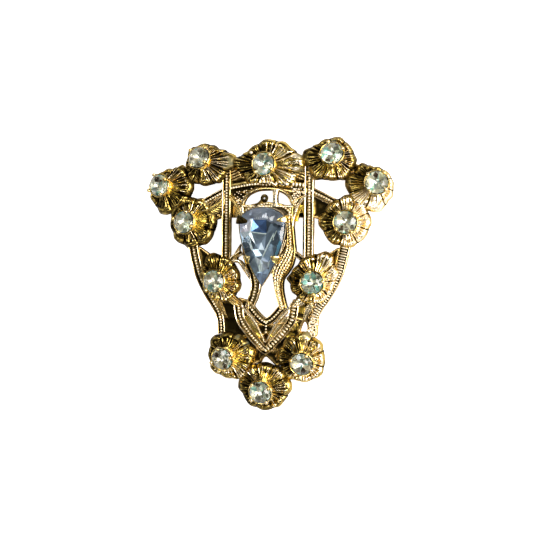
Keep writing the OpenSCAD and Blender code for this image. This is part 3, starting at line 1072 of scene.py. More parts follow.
class Section(Enum):
    """Cross sections of the bands: place across as a share of the half width, and height above the plate."""

    BEADED = across(((-1, -0.66), (-1, 0.1), (-0.95, 0.24), (-0.86, 0.3), (-0.77, 0.26), (-0.7, 0.1),
                     (-0.66, -0.12), (-0.58, -0.2), (-0.44, -0.2), (-0.2, -0.1)), centred=False)
    RAIL = across(((-1, -0.66), (-1, 0.05), (-0.86, 0.22), (-0.6, 0.32), (-0.3, 0.37), (0, 0.385)))
    DOUBLE = across(((-1, -0.66), (-1, 0.08), (-0.92, 0.24), (-0.74, 0.33), (-0.5, 0.3), (-0.3, 0.12),
                     (-0.14, -0.1)), centred=False)
    LADDER = across(((-1, -0.66), (-1, 0.04), (-0.94, 0.18), (-0.86, 0.22), (-0.78, 0.14), (-0.72, -0.1),
                     (-0.6, -0.14)), centred=False)
    LEDGE = across(((-1, -0.66), (-1, -0.02), (-0.9, 0.06), (-0.5, 0.1), (0, 0.1)))
    WIRE = across(((-1, -0.4), (-1.0, 0.0), (-0.8, 0.16), (-0.4, 0.25), (0, 0.28)))


@dataclass(frozen=True)
class Band:
    """One band of the openwork: its rows of x, y and half width, and its cross section."""

    rows: Rows
    section: Section
    clean: float = 0.9
    steps: int = 10
    lift: float = 0.0
    gilding: float = 0.0
    ground: float = -0.05

    def add_to(self, parts: MeshParts) -> None:
        """Adds the band to a mesh.

        Args:
            parts: the mesh that collects it.
        """
        foot_below, foot_clean, unevenness = -0.3, 0.22, 0.012
        line = curve_through(self.rows, self.steps)
        section = np.array(self.section.value, float)
        section[:, 1] += np.where(section[:, 1] > foot_below, self.lift, 0)
        points, faces = swept(line, section)
        waves = points[:, [1, 0, 1]] * [3.3, 2.7, 4.9] + points[:, [0, 1, 0]] * [2.1, 1.3, 2.7]
        height = np.tile(section[:, 1] - self.lift, len(line))
        clean = self.clean * (self.ground + (0.7 - self.ground) * smoothstep(0.0, 0.28, height))
        clean = np.where(height < foot_below, foot_clean, clean)
        parts.add(points + unevenness * np.sin(waves), faces, clean, self.gilding)


class Pattern(Enum):
    """What is pressed into the top of a patterned band."""

    SCALES = 1
    VEINS = 2
    LINES = 3


@dataclass(frozen=True)
class PatternBand:
    """A band or leaf with a lip and a pressed pattern, and for a band a rail along its right-hand edge."""

    rows: Rows
    pattern: Pattern
    pitch: float = 0.5
    relief: float = 0.14
    crown: float = 0.2
    rail: bool = False
    body: int = 12
    steps: int = 14
    clean: float = 0.35
    gilding: float = 0.0
    foot: float = -0.62

    def pressed(self, arc: float, offset: np.ndarray, half: float) -> np.ndarray:
        """How high the pattern stands across one row of the band.

        Args:
            arc: length of the band up to the row.
            offset: distances from the band's middle line.
            half: half the band's width.

        Returns:
            A share of the full relief for each.
        """
        if self.pattern == Pattern.SCALES:
            lane = np.floor(offset / self.pitch)
            along = np.mod(arc / self.pitch + 0.5 * np.mod(lane, 2), 1) * 2 - 1
            beside = np.mod(offset / self.pitch, 1) * 2 - 1
            return np.clip(1.15 - 0.9 * (along ** 2 + beside ** 2), 0, 1) ** 0.7
        if self.pattern == Pattern.VEINS:
            wave = (arc - np.abs(offset)) / self.pitch
            return (1 - np.abs(2 * np.mod(wave, 1) - 1)) * (1 - np.exp(-(offset / 0.08) ** 2))
        return 0.5 + 0.5 * np.cos(2 * math.pi * 1.5 * offset / half)

    def add_to(self, parts: MeshParts) -> None:
        """Adds the band to a mesh.

        Args:
            parts: the mesh that collects it.
        """
        line = curve_through(self.rows, self.steps)
        arcs = np.concatenate([[0], np.cumsum(np.linalg.norm(np.diff(line[:, :2], axis=0), axis=1))])
        # Distance from the edge, and height
        lip = np.array(((0, 0.0), (0.04, 0.2), (0.11, 0.27), (0.18, 0.2)))
        bar = np.array(((0.5, -0.04), (0.43, -0.08), (0.36, -0.04), (0.32, 0.16), (0.24, 0.32), (0.16, 0.37),
                        (0.07, 0.3), (0, 0.04)))
        edge = bar if self.rail else lip[::-1]
        rings = []
        clean = []
        gilding = []
        for (x, y, half), (dx, dy), arc in zip(line, headings(line), arcs):
            fit = min(1.0, half / 0.6)
            inner = np.linspace(-half + 0.24 * fit, half - (edge[0, 0] + 0.06) * fit, self.body)
            rise = self.pressed(arc, inner, half)
            offset = np.concatenate([-half + lip[:, 0] * fit, inner, half - edge[:, 0] * fit, [half, -half]])
            body_z = self.crown * (1 - 0.4 * (inner / half) ** 2) * fit + self.relief * rise * fit
            edge_z = edge[:, 1] * np.where(edge[:, 1] > 0, fit, 1)
            z = np.concatenate([lip[:, 1] * fit, body_z, edge_z, [self.foot, self.foot]])
            place = np.array([x, y]) + np.outer(offset, [-dy, dx])
            rings.append(np.column_stack([place, z + dome(x)]))
            tops = np.clip(edge[:, 1] * 3, 0, 1)
            clean += [*np.clip(lip[:, 1] * 3, 0, 1), *(self.clean + (1 - self.clean) * rise), *tops, 0.2, 0.2]
            gilding += [*np.zeros(len(lip)), *(self.gilding * (1 - rise)), *np.zeros(len(edge) + 2)]
        points, faces = closed_rings(rings, flip=True)
        parts.add(points, faces, np.array([*clean, 0.3, 0.3]), np.array([*gilding, 0.0, 0.0]))


class BeadKind(Enum):
    """What is set along a line, or on the points of a cloud."""

    BEAD = 1
    BAR = 2
    GRAIN = 3
    RUNG = 4


@dataclass(frozen=True)
class BeadRow:
    """A row of milgrain beads or bars along a line."""

    rows: Rows
    height: float = 0.1
    size: float = 1.0
    kind: BeadKind = BeadKind.BEAD


@dataclass(frozen=True)
class Granulation:
    """A patch of metal set with small grains, inside an outline."""

    outline: Sequence[Point]
    spacing: float = 0.42
    size: float = 1.0
    height: float = 0.05
    jitter: float = 0.07

    def places(self, rng: np.random.Generator) -> np.ndarray:
        """Where its grains lie.

        Args:
            rng: moves each grain a little.

        Returns:
            Rows of x, y, height and size.
        """
        shape = np.array(self.outline)
        low, high = shape.min(0), shape.max(0)
        rows = np.arange(low[1], high[1] + self.spacing, self.spacing * 0.87)
        cols = np.arange(low[0], high[0] + self.spacing, self.spacing)
        x, y = np.meshgrid(cols, rows)
        x = x + (np.arange(len(rows)) % 2)[:, None] * self.spacing / 2
        spots = np.column_stack([x.ravel(), y.ravel()]) + rng.normal(0, self.jitter, (x.size, 2))
        inside = np.zeros(len(spots), bool)
        for (ax, ay), (bx, by) in zip(shape, np.roll(shape, -1, axis=0)):
            crosses = (ay > spots[:, 1]) != (by > spots[:, 1])
            at = (bx - ax) * (spots[:, 1] - ay) / (by - ay if by != ay else 1.0) + ax
            inside ^= crosses & (spots[:, 0] < at)
        spots = spots[inside]
        size = self.size * rng.uniform(0.75, 1.2, len(spots))
        return np.column_stack([spots, self.height + dome(spots[:, 0]), size])


@dataclass(frozen=True)
class WebTexture:
    """Fine ridges pressed into the web round a place."""

    x: float
    y: float
    reach: float
    way: float
    pitch: float = 0.5
    height: float = 0.2

    def at(self, spots: np.ndarray) -> tuple[np.ndarray, np.ndarray]:
        """The ridges at some places.

        Args:
            spots: rows of x and y.

        Returns:
            How far the ridges show at each, and how high they stand.
        """
        away = spots - [self.x, self.y]
        a = math.radians(self.way)
        wave = (away[:, 0] * -math.sin(a) + away[:, 1] * math.cos(a)) / self.pitch
        shown = 1 - smoothstep(self.reach * 0.8, self.reach, np.linalg.norm(away, axis=1))
        return shown, 1 - 2 * np.abs(wave - np.round(wave))


@dataclass
class CastWeb:
    """The cast sheet between the bands: convex shapes that melt into one web with rounded openings."""

    shapes: Sequence[Rows]
    textures: Sequence[WebTexture]
    # Places of painted shade, and lighter, yellower places: x, y and reach
    shadows: Rows
    glows: Rows
    step: float = 0.15
    melt: float = 7.0
    front: float = -0.06
    back: float = -0.62
    clean: float = 0.3
    back_clean: float = 0.3
    ridge_ground: float = 0.2
    half_w: float = 18.6
    half_h: float = 20.0
    # How often the border is drawn to the edge, over what distance its slope is read, and the longest move
    border_rounds: int = 3
    probe: float = 0.02
    longest_move: float = 0.4

    def distance(self, spots: np.ndarray) -> np.ndarray:
        """Distance to the web's edge, less than zero inside.

        Args:
            spots: rows of x and y.

        Returns:
            The distance at each.
        """
        reach, least = 0.8, 1e-6
        total = np.zeros(len(spots))
        for discs in self.shapes:
            loop = hull_outline(discs, 10)
            inside = (spots > loop.min(0) - reach) & (spots < loop.max(0) + reach)
            near = np.flatnonzero(np.all(inside, axis=1))
            if not len(near):
                continue
            along = np.roll(loop, -1, axis=0) - loop
            out = np.column_stack([along[:, 1], -along[:, 0]])
            out /= np.linalg.norm(out, axis=1)[:, None]
            deep = (spots[near] @ out.T - np.einsum("ij,ij->i", loop, out)).max(1)
            total[near] += np.exp(-self.melt * deep)
        return -np.log(np.maximum(total, least)) / self.melt

    def shell(self) -> Shell:
        """The web as one closed shell for each part that hangs together.

        Returns:
            Its points, its faces, and how clean and how yellow each point is, with painted shade at its
            shadows.
        """
        x, y = np.meshgrid(np.arange(-self.half_w, self.half_w, self.step),
                           np.arange(-self.half_h, self.half_h, self.step), indexing="ij")
        spots = np.column_stack([x.ravel(), y.ravel()])
        deep = self.distance(spots).reshape(x.shape)
        middle = (deep[:-1, :-1] + deep[1:, :-1] + deep[:-1, 1:] + deep[1:, 1:]) / 4
        keep = self.opened(middle < 0)
        # The cells inside, with their border drawn onto the web's edge
        i, j = np.nonzero(keep)
        wide = x.shape[1]
        quads = np.stack([i * wide + j, (i + 1) * wide + j, (i + 1) * wide + j + 1, i * wide + j + 1], 1)
        used, quads = np.unique(quads, return_inverse=True)
        quads = quads.reshape(-1, 4)
        flat = spots[used]
        border = np.bincount(quads.ravel(), minlength=len(flat)) < 4
        e, longest = self.probe, self.longest_move * self.step
        for _ in range(self.border_rounds):
            edge = flat[border]
            d = self.distance(edge)
            slope = np.column_stack([self.distance(edge + [e, 0]) - d, self.distance(edge + [0, e]) - d]) / e
            move = slope * (d / np.maximum((slope ** 2).sum(1), 0.3))[:, None]
            flat[border] = edge - np.clip(move, -longest, longest)
        # The front's relief, the back and the sides
        inner = -self.distance(flat)
        ridge = np.zeros(len(flat))
        shown = np.zeros(len(flat))
        for texture in self.textures:
            mask, wave = texture.at(flat)
            ridge = ridge + mask * wave * texture.height
            shown = np.maximum(shown, mask * (self.ridge_ground + (1 - self.ridge_ground) * wave))
        rim = np.exp(-((inner - 0.24) / 0.13) ** 2)
        top = self.front + 0.1 * rim - 0.22 * smoothstep(0.3, 1.1, inner)
        top = top - 0.1 * (1 - smoothstep(0, 0.14, inner))
        lift = dome(flat[:, 0])
        points = np.vstack([np.column_stack([flat, top + ridge + lift]),
                            np.column_stack([flat, np.full(len(flat), self.back) + lift])])
        count = len(flat)
        faces = [tuple(q) for q in quads.tolist()] + [tuple(q[::-1]) for q in (quads + count).tolist()]
        sides = np.concatenate([quads[:, [k, (k + 1) % 4]] for k in range(4)])
        known = {tuple(s) for s in sides.tolist()}
        faces += [(b, a, a + count, b + count) for a, b in known if (b, a) not in known]
        # How clean and how yellow it is: painted shade at the shadows, lighter and yellower at the glows
        clean = self.clean + 0.3 * rim - 0.15 * smoothstep(0.3, 1.1, inner)
        clean = np.where(shown > 0, np.maximum(clean * 0.5, shown), clean)
        glow = nearness(flat, self.glows, 0.5)
        clean = clean - 0.45 * nearness(flat, self.shadows, 0.5) + 0.35 * glow
        clean = np.concatenate([clean, np.full(count, self.back_clean)])
        return points, faces, clean, np.concatenate([glow, np.zeros(count)])

    def opened(self, keep: np.ndarray) -> np.ndarray:
        """Leaves out cells that would only touch at a corner.

        Args:
            keep: which cells of the grid are in the web.

        Returns:
            The cells that stay.
        """
        keep = keep.copy()
        keep[0], keep[-1], keep[:, 0], keep[:, -1] = False, False, False, False
        while True:
            a, b, c, d = keep[:-1, :-1], keep[1:, :-1], keep[:-1, 1:], keep[1:, 1:]
            first, second = a & d & ~b & ~c, b & c & ~a & ~d
            if not first.any() and not second.any():
                return keep
            a[first] = False
            b[second] = False


@dataclass
class Openwork:
    """The pierced plate between the flowers: webs, bands, rails, leaves and their bead rows."""

    bead_r: float = 0.23
    bead_pitch: float = 0.52
    bar_pitch: float = 0.6
    bar_length: float = 0.4
    rung_pitch: float = 0.48
    rung_length: float = 0.72
    grain_r: float = 0.19
    grain_seed: int = 77
    # Inset and height of each ring of the plate under the pear stone
    plate_rings: Sequence[Point] = ((0.1, 0.2), (0.025, 0.18), (0.0, 0.08), (0.0, -0.62))
    # The rows of each band and leaf: x, y and half width
    side_rib: Rows = ((14.8, 4, 1), (13.6, -0.8, 0.95), (11.9, -4.5, 0.85), (9.25, -8.8, 0.75),
                      (8.7, -12.6, 0.75))
    slant_bar: Rows = ((8.4, 13.85, 0.75), (12.6, 11.75, 0.75))
    outer_strap: Rows = ((7.4, 13.1, 0.3), (5.9, 11.2, 0.34), (5.1, 8.9, 0.3), (5.0, 7.4, 0.2))
    left_strap: Rows = ((-7.4, 13.1, 0.3), (-5.9, 11.2, 0.4), (-5, 8.9, 0.4), (-4.6, 5.6, 0.45))
    inner_strap: Rows = ((5, 10.9, 0.4), (4.6, 8.6, 0.4), (4.5, 6.4, 0.45))
    inner_band: Rows = ((4.6, 5.6, 0.5), (4.1, 3.2, 0.65), (3.4, 0.8, 0.85), (2.45, -1.3, 0.95),
                        (2.05, -3.5, 1), (2.5, -5.6, 0.9), (2.95, -6.75, 0.85), (3.3, -7.7, 0.8))
    rib_branch: Rows = ((5, 2.6, 0.6), (6.3, 1.8, 0.45), (7.6, 0.7, 0.6))
    rib_rail: Rows = ((6.9, 0.9, 0.3), (5.4, 0.9, 0.35), (4.2, -0.5, 0.4), (3.3, -1.9, 0.3),
                      (3.0, -2.7, 0.06))
    inner_point: Rows = ((3.4, -7.2, 0.75), (0, -10.2, 0.75))
    blade: Rows = ((4.8, -7.3, 0.06), (4.2, -8.0, 0.25), (2.1, -10.3, 0.28), (0.1, -13.9, 0.12))
    lens_floor: Rows = ((3.9, -9.2, 0.25), (2.9, -10.9, 0.75), (1.7, -12.5, 0.66), (0.6, -14.0, 0.2))
    outer_point: Rows = ((5.8, -6.2, 0.25), (5.4, -7.2, 0.9), (4.95, -9.7, 0.9), (3.5, -11.9, 0.85),
                         (1.7, -13.9, 0.8), (0, -15.4, 0.75))
    inner_leaf: Rows = ((8.3, -5.3, 0.3), (6.6, -6.4, 0.85), (4.9, -7.5, 0.2))
    outer_leaf: Rows = ((8.9, -6, 0.3), (8.1, -7.8, 0.75), (7.1, -9.9, 0.12))
    left_inner_leaf: Rows = ((-8.2, -4.7, 0.3), (-6.3, -6.4, 0.85), (-4.3, -7.7, 0.2))
    left_outer_leaf: Rows = ((-10.1, -5.0, 0.25), (-9.2, -7.0, 0.66), (-7.6, -9.6, 0.08))
    leaf_rail: Rows = ((3.85, 5.0, 0.14), (3.2, 3.4, 0.14), (2.3, 1.7, 0.14))
    pear_band: Rows = ((4.9, 9, 0.5), (3.4, 10.8, 0.5), (0, 11.6, 0.35))
    arch_lip: Rows = ((5, 11.2, 0.35), (4.15, 12.9, 0.35), (2.4, 14, 0.35), (0, 14.3, 0.35))
    arch_beads: Rows = ((7.4, 14.7, 0.45), (4, 15.25, 0.5), (0, 15.4, 0.5))
    upright_rib: Rows = ((8, 18.3, 0.86), (8, 0.9, 0.86))
    cross_bar: Rows = ((-4.9, 11.1, 0.3), (4.9, 11, 0.3))
    post: Rows = ((1.6, 11.0, 0.62), (1.6, 11.6, 0.48), (1.55, 12.8, 0.44), (1.65, 14.2, 0.6))
    curl: Rows = ((-2.3, 11.2, 0.3), (-1.5, 11.6, 0.34), (-1.0, 12.2, 0.3))
    recess_arch: Rows = ((5.55, 8.3, 0.22), (5.8, 9.7, 0.28), (6.5, 11.0, 0.3), (7.05, 9.8, 0.22),
                         (7.2, 8.5, 0.15))
    recess_floor: Rows = ((6.4, 12.0, 0.9), (6.5, 9.9, 0.75))
    spike: Rows = ((-6.4, 0.8, 0.5), (-5.8, 2.4, 0.42), (-5.15, 4.1, 0.06))
    slant_leaf: Rows = ((-12.9, 9.7, 0.3), (-11.2, 10.1, 0.9), (-9.6, 11.0, 0.9), (-8.8, 12.4, 0.3))
    # x, y, radius, radius of the wire, and height
    curl_ring: Row = (-0.5, 12.55, 0.46, 0.32, 0.12)
    # x, y, height and size
    loose_bead: Row = (-2.85, 20.9, 1.05, 2.0)
    # Convex shapes of the webs, each round some discs: x, y and radius
    pads: Sequence[Rows] = (
        ((7.2, 16.2, 0.3), (7.2, 13.5, 0.3), (-0.4, 16.6, 0.4), (-0.4, 14.7, 0.3), (3.1, 14.1, 0.3)),
        ((7.2, 14, 0.3), (6.8, 13, 0.3), (5, 12, 0.3), (4.1, 13.4, 0.3)),
        ((6.7, 12.9, 0.2), (5.2, 9.9, 0.2), (5.2, 11.9, 0.2)),
        ((8, 18.4, 0.8), (6.3, 17.4, 0.9), (5.6, 16.4, 0.6), (7.6, 15.6, 0.4)),
        ((8.5, 13.5, 0.2), (8.7, 9.2, 0.2), (10.4, 8.8, 0.3), (12.4, 11.4, 0.3)),
        ((13.4, 3.3, 0.3), (11.7, 2.2, 0.3), (10.8, -3.4, 0.3), (12.6, -2.8, 0.3)),
        ((5.9, -10.3, 0.3), (6.4, -12.3, 0.3), (5.8, -13.3, 0.4), (3.5, -12.8, 0.4)),
        ((8.5, -9.2, 0.3), (8.2, -12.6, 0.3), (8.9, -12.6, 0.3)),
        ((3.9, 4.4, 0.3), (2.4, 1.2, 0.3), (4.3, 2.4, 0.3)),
        ((-0.5, -11.2, 0.4), (2.3, -10.8, 0.3), (3.6, -10.4, 0.3), (1.2, -13, 0.3)),
        ((5.4, -13.6, 0.5), (3.4, -13, 0.5), (1.7, -14.6, 0.4), (2.6, -17.6, 0.6), (4.4, -16, 0.5)),
        ((6.2, -6.6, 0.3), (8.9, -6.6, 0.3), (8.6, -9.4, 0.3), (7.4, -9.7, 0.2), (5.2, -9.4, 0.3),
         (4.4, -7.6, 0.3)),
    )
    left_pads: Sequence[Rows] = (
        ((-8.4, -9.6, 0.3), (-8, -12.6, 0.4), (-5.6, -9.6, 0.4), (-5.6, -12.4, 0.4)),
        ((-2.6, -17.6, 0.6), (-1.3, -17.2, 0.6), (-1.2, -15.2, 0.5)),
        ((-1.4, -15.6, 0.5), (0.1, -15.8, 0.5), (-1.1, -16.9, 0.4)),
        ((-4.7, -8.6, 0.4), (-2.4, -9.4, 0.4), (-3.2, -11.4, 0.4), (-1.6, -12.6, 0.3)),
        ((-5.3, -6.3, 0.5), (-3.6, -6.6, 0.4), (-5, -7.8, 0.4), (-3.7, -8.2, 0.3)),
    )
    right_pads: Sequence[Rows] = (
        ((15.6, 18.5, 0.5), (17.2, 17.9, 0.6), (16.4, 17.0, 0.5)),
        ((0, -15.8, 0.5), (2.2, -15.8, 0.4), (2.2, -17.9, 0.4)),
        ((4.1, -2.2, 0.3), (5, -1.4, 0.5), (5.1, -3.4, 0.3)),
        ((5.4, -7.2, 0.4), (5.3, -6.2, 0.3), (4.9, -8, 0.3)),
        ((8.4, -9.2, 0.4), (8.2, -12.6, 0.3), (9.4, -12.4, 0.3), (9.7, -9.2, 0.3)),
        ((5.9, -10.2, 0.3), (6.9, -9.9, 0.3), (6.2, -11.6, 0.3)),
        ((7.7, -9.6, 0.3), (8.3, -9.6, 0.3), (8.3, -11.2, 0.2)),
    )
    pear_plate: Rows = ((-4, 8.4, 0.5), (4, 8.4, 0.5), (-3.8, 4.2, 0.5), (3.8, 4.2, 0.5), (-1.5, -0.9, 0.4),
                        (1.5, -0.9, 0.4))
    hammered: Rows = ((4.7, 11.1, 0.4), (4.5, 9.6, 0.5), (4.45, 8.2, 0.58), (4.6, 6.5, 0.68),
                      (4.68, 4.6, 0.78), (4.55, 2.9, 1.1), (3.8, 1.1, 1.55), (2.95, -0.3, 1.6),
                      (2.45, -1.6, 1.3), (2.35, -2.8, 1.0), (2.5, -4.3, 0.85), (2.85, -5.9, 0.8),
                      (3.4, -7.7, 0.72))
    # Places of painted shade on the webs, and lighter, yellower places: x, y and reach
    web_shadows: Rows = ((-7.0, -10.6, 3.0), (-4.6, -10.0, 2.0), (6.4, 10.0, 1.6), (-7.2, -12.4, 2.0),
                         (0.2, -15.9, 1.2), (-9.2, 8.4, 1.2), (-6.0, 13.4, 2.2), (-4.0, 14.0, 1.7),
                         (-5.4, 11.0, 1.6), (3.2, 3.2, 1.4), (5.0, -1.6, 1.4), (-3.6, -9.6, 1.1),
                         (0.0, -11.0, 0.9), (2.6, -9.9, 0.7), (-1.9, -10.6, 0.9), (-6.3, 10.4, 1.6))
    web_glows: Rows = ((1.5, -12.2, 1.1), (-1.3, -12.6, 0.8), (5.2, -10.8, 1.2), (6.9, -7.8, 1.0),
                       (4.8, -12.9, 1.3))
    web_textures: Sequence[WebTexture] = (
        WebTexture(-10.0, 11.2, 1.6, 50), WebTexture(-9.3, 10.0, 1.0, 80, 0.45),
        WebTexture(-6.3, 17.2, 1.6, 20), WebTexture(6.3, 17.2, 1.6, 160),
        WebTexture(3.4, -16.2, 1.8, 60, 0.55), WebTexture(-3.2, -15.8, 1.3, 120),
        WebTexture(8.4, -8.2, 1.5, 100, 0.45), WebTexture(5.0, -10.8, 1.1, 100, 0.5),
    )

    def bands(self) -> list[Band]:
        """Every band of the openwork.

        Returns:
            The bands of both sides.
        """
        both = [
            Band(self.slant_bar, Section.BEADED, 0.9, 12),
            Band(self.rib_branch, Section.DOUBLE, 0.8, 8),
            Band(self.blade, Section.RAIL, 1.0),
        ]
        return both + [replace(band, rows=mirrored(band.rows)) for band in both] + [
            # Where a left-hand band is darker than its right-hand copy, the difference is painted shade, as
            # the light comes from the right
            Band(self.upright_rib, Section.BEADED, 0.78, 30, ground=0.6),
            Band(mirrored(self.upright_rib), Section.BEADED, 0.52, 30, ground=0.5),
            Band(self.side_rib, Section.LADDER, 0.74, 12, ground=0.4),
            Band(mirrored(self.side_rib), Section.BEADED, 0.68, 12, ground=0.25),
            Band(self.lens_floor, Section.LEDGE, 1.1, 8, -0.16, gilding=0.5, ground=0.55),
            Band(mirrored(self.lens_floor), Section.LEDGE, 0.8, 8, -0.2, gilding=0.6, ground=0.35),
            Band(self.outer_strap, Section.RAIL, 1.0),
            Band(self.left_strap, Section.RAIL, 0.35),
            Band(mirrored(self.inner_strap), Section.RAIL, 0.9),
            Band(self.leaf_rail, Section.WIRE, 1.0, 8, 0.1),
            Band(mirrored(self.rib_rail), Section.RAIL, 0.9),
            Band(mirrored(self.inner_band), Section.BEADED, 0.8, ground=0.35),
            Band(across(self.inner_point), Section.BEADED, 0.8, 12, ground=0.3),
            Band(across(self.outer_point), Section.BEADED, 0.8, 10, ground=0.3),
            Band(self.pear_band, Section.LEDGE, 0.6),
            Band(mirrored(self.pear_band), Section.LEDGE, 0.15),
            Band(across(self.arch_lip), Section.RAIL, 0.65, 10, -0.14),
            Band(across(self.arch_beads), Section.LEDGE, 0.2),
            Band(self.recess_arch, Section.LEDGE, 1.1, 6, -0.2, gilding=1.0),
            Band(self.recess_floor, Section.LEDGE, 0.3, 6, -0.36, gilding=0.6),
            Band(self.cross_bar, Section.WIRE, 0.8, 12),
            Band(self.post, Section.RAIL, 1.0, 10, 0.1),
            Band(self.curl, Section.RAIL, 0.0, 8, 0.05),
        ]

    def pressed_bands(self) -> list[PatternBand]:
        """The hammered band and the leaves.

        Returns:
            The patterned bands of both sides.
        """
        return [
            PatternBand(self.hammered, Pattern.SCALES, 0.54, 0.2, 0.2, True, 22, 26, 1.15, 0.5),
            PatternBand(self.inner_leaf, Pattern.VEINS, 0.5, clean=0.8),
            PatternBand(self.outer_leaf, Pattern.VEINS, 0.5, clean=0.75),
            PatternBand(self.left_inner_leaf, Pattern.LINES, relief=0.26, clean=0.45),
            PatternBand(self.left_outer_leaf, Pattern.LINES, relief=0.26, clean=0.5),
            PatternBand(self.spike, Pattern.LINES, clean=0.1),
            PatternBand(self.slant_leaf, Pattern.VEINS, 0.5, clean=0.3, gilding=0.4),
        ]

    def granulations(self) -> list[Granulation]:
        """The grained patches.

        Returns:
            The patches of both sides.
        """
        return [
            Granulation(((4.6, 14.6), (7, 14.3), (7.1, 13.6), (6, 12.3), (5.5, 11), (4.7, 12.1)),
                        0.46, 1.0, 0.02),
            Granulation(((-6.6, 14.0), (-2.8, 14.5), (-4.6, 12.9), (-4.9, 11.4), (-5.1, 9.6), (-6.5, 12.9)),
                        0.62, 0.75, -0.02, 0.14),
            Granulation(((8.3, -9.4), (9.9, -9.4), (9.5, -12.4), (7.9, -12.4)), 0.42, 1.2, 0.22, 0.12),
        ]

    def grain_cloud(self, name: str) -> Object:
        """A mesh of single points, one for each grain.

        Args:
            name: name of the object.

        Returns:
            The object, with the grains' sizes stored on its points.
        """
        rng = np.random.default_rng(self.grain_seed)
        rows = np.vstack([*(patch.places(rng) for patch in self.granulations()), self.loose_bead])
        mesh = bpy.data.meshes.new(name)
        mesh.from_pydata(in_frame(rows[:, :3]).tolist(), [], [])
        store(mesh, GRAIN, rows[:, 3])
        return add_object(name, mesh)

    def curl_end(self) -> Solid:
        """The small ring of round wire at the end of the curl.

        Returns:
            Its points and faces.
        """
        x, y, radius, wire, height = self.curl_ring
        turns, sides = 28, 10
        a, b = full_turn(turns)[:, None], full_turn(sides)[None]
        r = radius + wire * np.cos(b)
        rings = np.broadcast_arrays(x + r * np.cos(a), y + r * np.sin(a), height + wire * np.sin(b))
        faces = []
        for i in range(turns):
            here, ahead = i * sides, (i + 1) % turns * sides
            faces += [(here + j, ahead + j, ahead + (j + 1) % sides, here + (j + 1) % sides)
                      for j in range(sides)]
        return np.stack(rings, -1).reshape(-1, 3), faces

    def build_bands(self) -> None:
        """Makes the piece of the bands and leaves."""
        parts = MeshParts()
        for band in self.bands():
            band.add_to(parts)
        parts.add(*self.curl_end(), -0.3)
        for leaf in self.pressed_bands():
            leaf.add_to(parts)
        dress(parts.build("openwork_bands", 55), "gilt_brass", "frame", Finish.RAILS)

    def build_webs(self) -> None:
        """Makes the piece of the cast webs and the plate under the pear stone."""
        shapes = [*self.pads, *map(mirrored, self.pads), *self.left_pads, *self.right_pads]
        parts = MeshParts()
        parts.add(*CastWeb(shapes, self.web_textures, self.web_shadows, self.web_glows).shell())
        outline = hull_outline(self.pear_plate)
        middle = outline.mean(0)
        rings = []
        for inset, z in self.plate_rings:
            flat = middle + (outline - middle) * (1 - inset)
            rings.append(np.column_stack([flat, z + dome(flat[:, 0])]))
        parts.add(*closed_rings(rings), 0.2)
        dress(parts.build("openwork_webs", 60), "gilt_brass", "frame", Finish.WEBS)

    def bead_rows(self) -> list[BeadRow]:
        """Every bead row of the openwork.

        Returns:
            The rows of both sides.
        """
        both = [BeadRow(self.upright_rib[:1] + ((8, 0.9),)), BeadRow(self.slant_bar, 0.1, 0.95)]
        return both + [replace(row, rows=mirrored(row.rows)) for row in both] + [
            BeadRow(mirrored(self.side_rib)),
            BeadRow(self.side_rib, 0.12, 1.0, BeadKind.RUNG),
            BeadRow(across(self.inner_point), 0.1, 0.95),
            BeadRow(mirrored(self.inner_band[:-1]), 0.1, 0.85),
            BeadRow(((0.05, -10.4), (0.05, -12.1)), 0.1, 0.95),
            BeadRow(mirrored(self.outer_point[1:])),
            BeadRow(self.outer_point[1:], 0.12, 1.05, BeadKind.BAR),
            BeadRow(self.pear_band, 0.18, 0.95),
            BeadRow(mirrored(self.pear_band), 0.18, 0.95),
            BeadRow(((-7.0, 14.45), (-3.4, 15.05), (-1.2, 15.2)), 0.42, 1.15),
            BeadRow(((-0.7, 15.2), (3.4, 15.2), (7.0, 14.9)), 0.42, 1.1, BeadKind.BAR),
            BeadRow(((-6.2, 12.6), (-5.6, 11.4), (-5.0, 10.2)), 0.0, 0.8),
        ]

    def bead_path(self, rows: Sequence[BeadRow], name: str) -> Object:
        """A curve object with a line for each bead row.

        Args:
            rows: the bead rows.
            name: name of the object.

        Returns:
            The curve object, its points' radius holding the beads' size.
        """
        data = bpy.data.curves.new(name, "CURVE")
        data.dimensions = "3D"
        for row in rows:
            line = curve_through([r[:2] for r in row.rows], 12)
            spots = in_frame(np.column_stack([line, row.height + dome(line[:, 0])]))
            spline = data.splines.new("POLY")
            spline.points.add(len(spots) - 1)
            for target, spot in zip(spline.points, spots):
                target.co = (*spot, 1)
                target.radius = row.size
        return add_object(name, data)

    def build_beads(self) -> None:
        """Makes the round beads, the bars, the rungs and the grains."""
        rows = self.bead_rows()
        for name, kind, pitch, length in (("milgrain_beads", BeadKind.BEAD, self.bead_pitch, 0.0),
                                          ("milgrain_bars", BeadKind.BAR, self.bar_pitch, self.bar_length),
                                          ("rib_rungs", BeadKind.RUNG, self.rung_pitch, self.rung_length)):
            path = self.bead_path([row for row in rows if row.kind == kind], f"{name}_path")
            sizes = {"Pitch": pitch * MM, "Bead Radius": self.bead_r * MM, "Bar Length": length * MM,
                     "Seed": 7}
            dress(grown(path, kind, sizes, name), "gilt_brass", "frame", Finish.BEADS)
        sizes = {"Bead Radius": self.grain_r * MM, "Seed": 3}
        made = grown(self.grain_cloud("grains_cloud"), BeadKind.GRAIN, sizes, "grains")
        dress(made, "gilt_brass", "frame", Finish.BEADS)


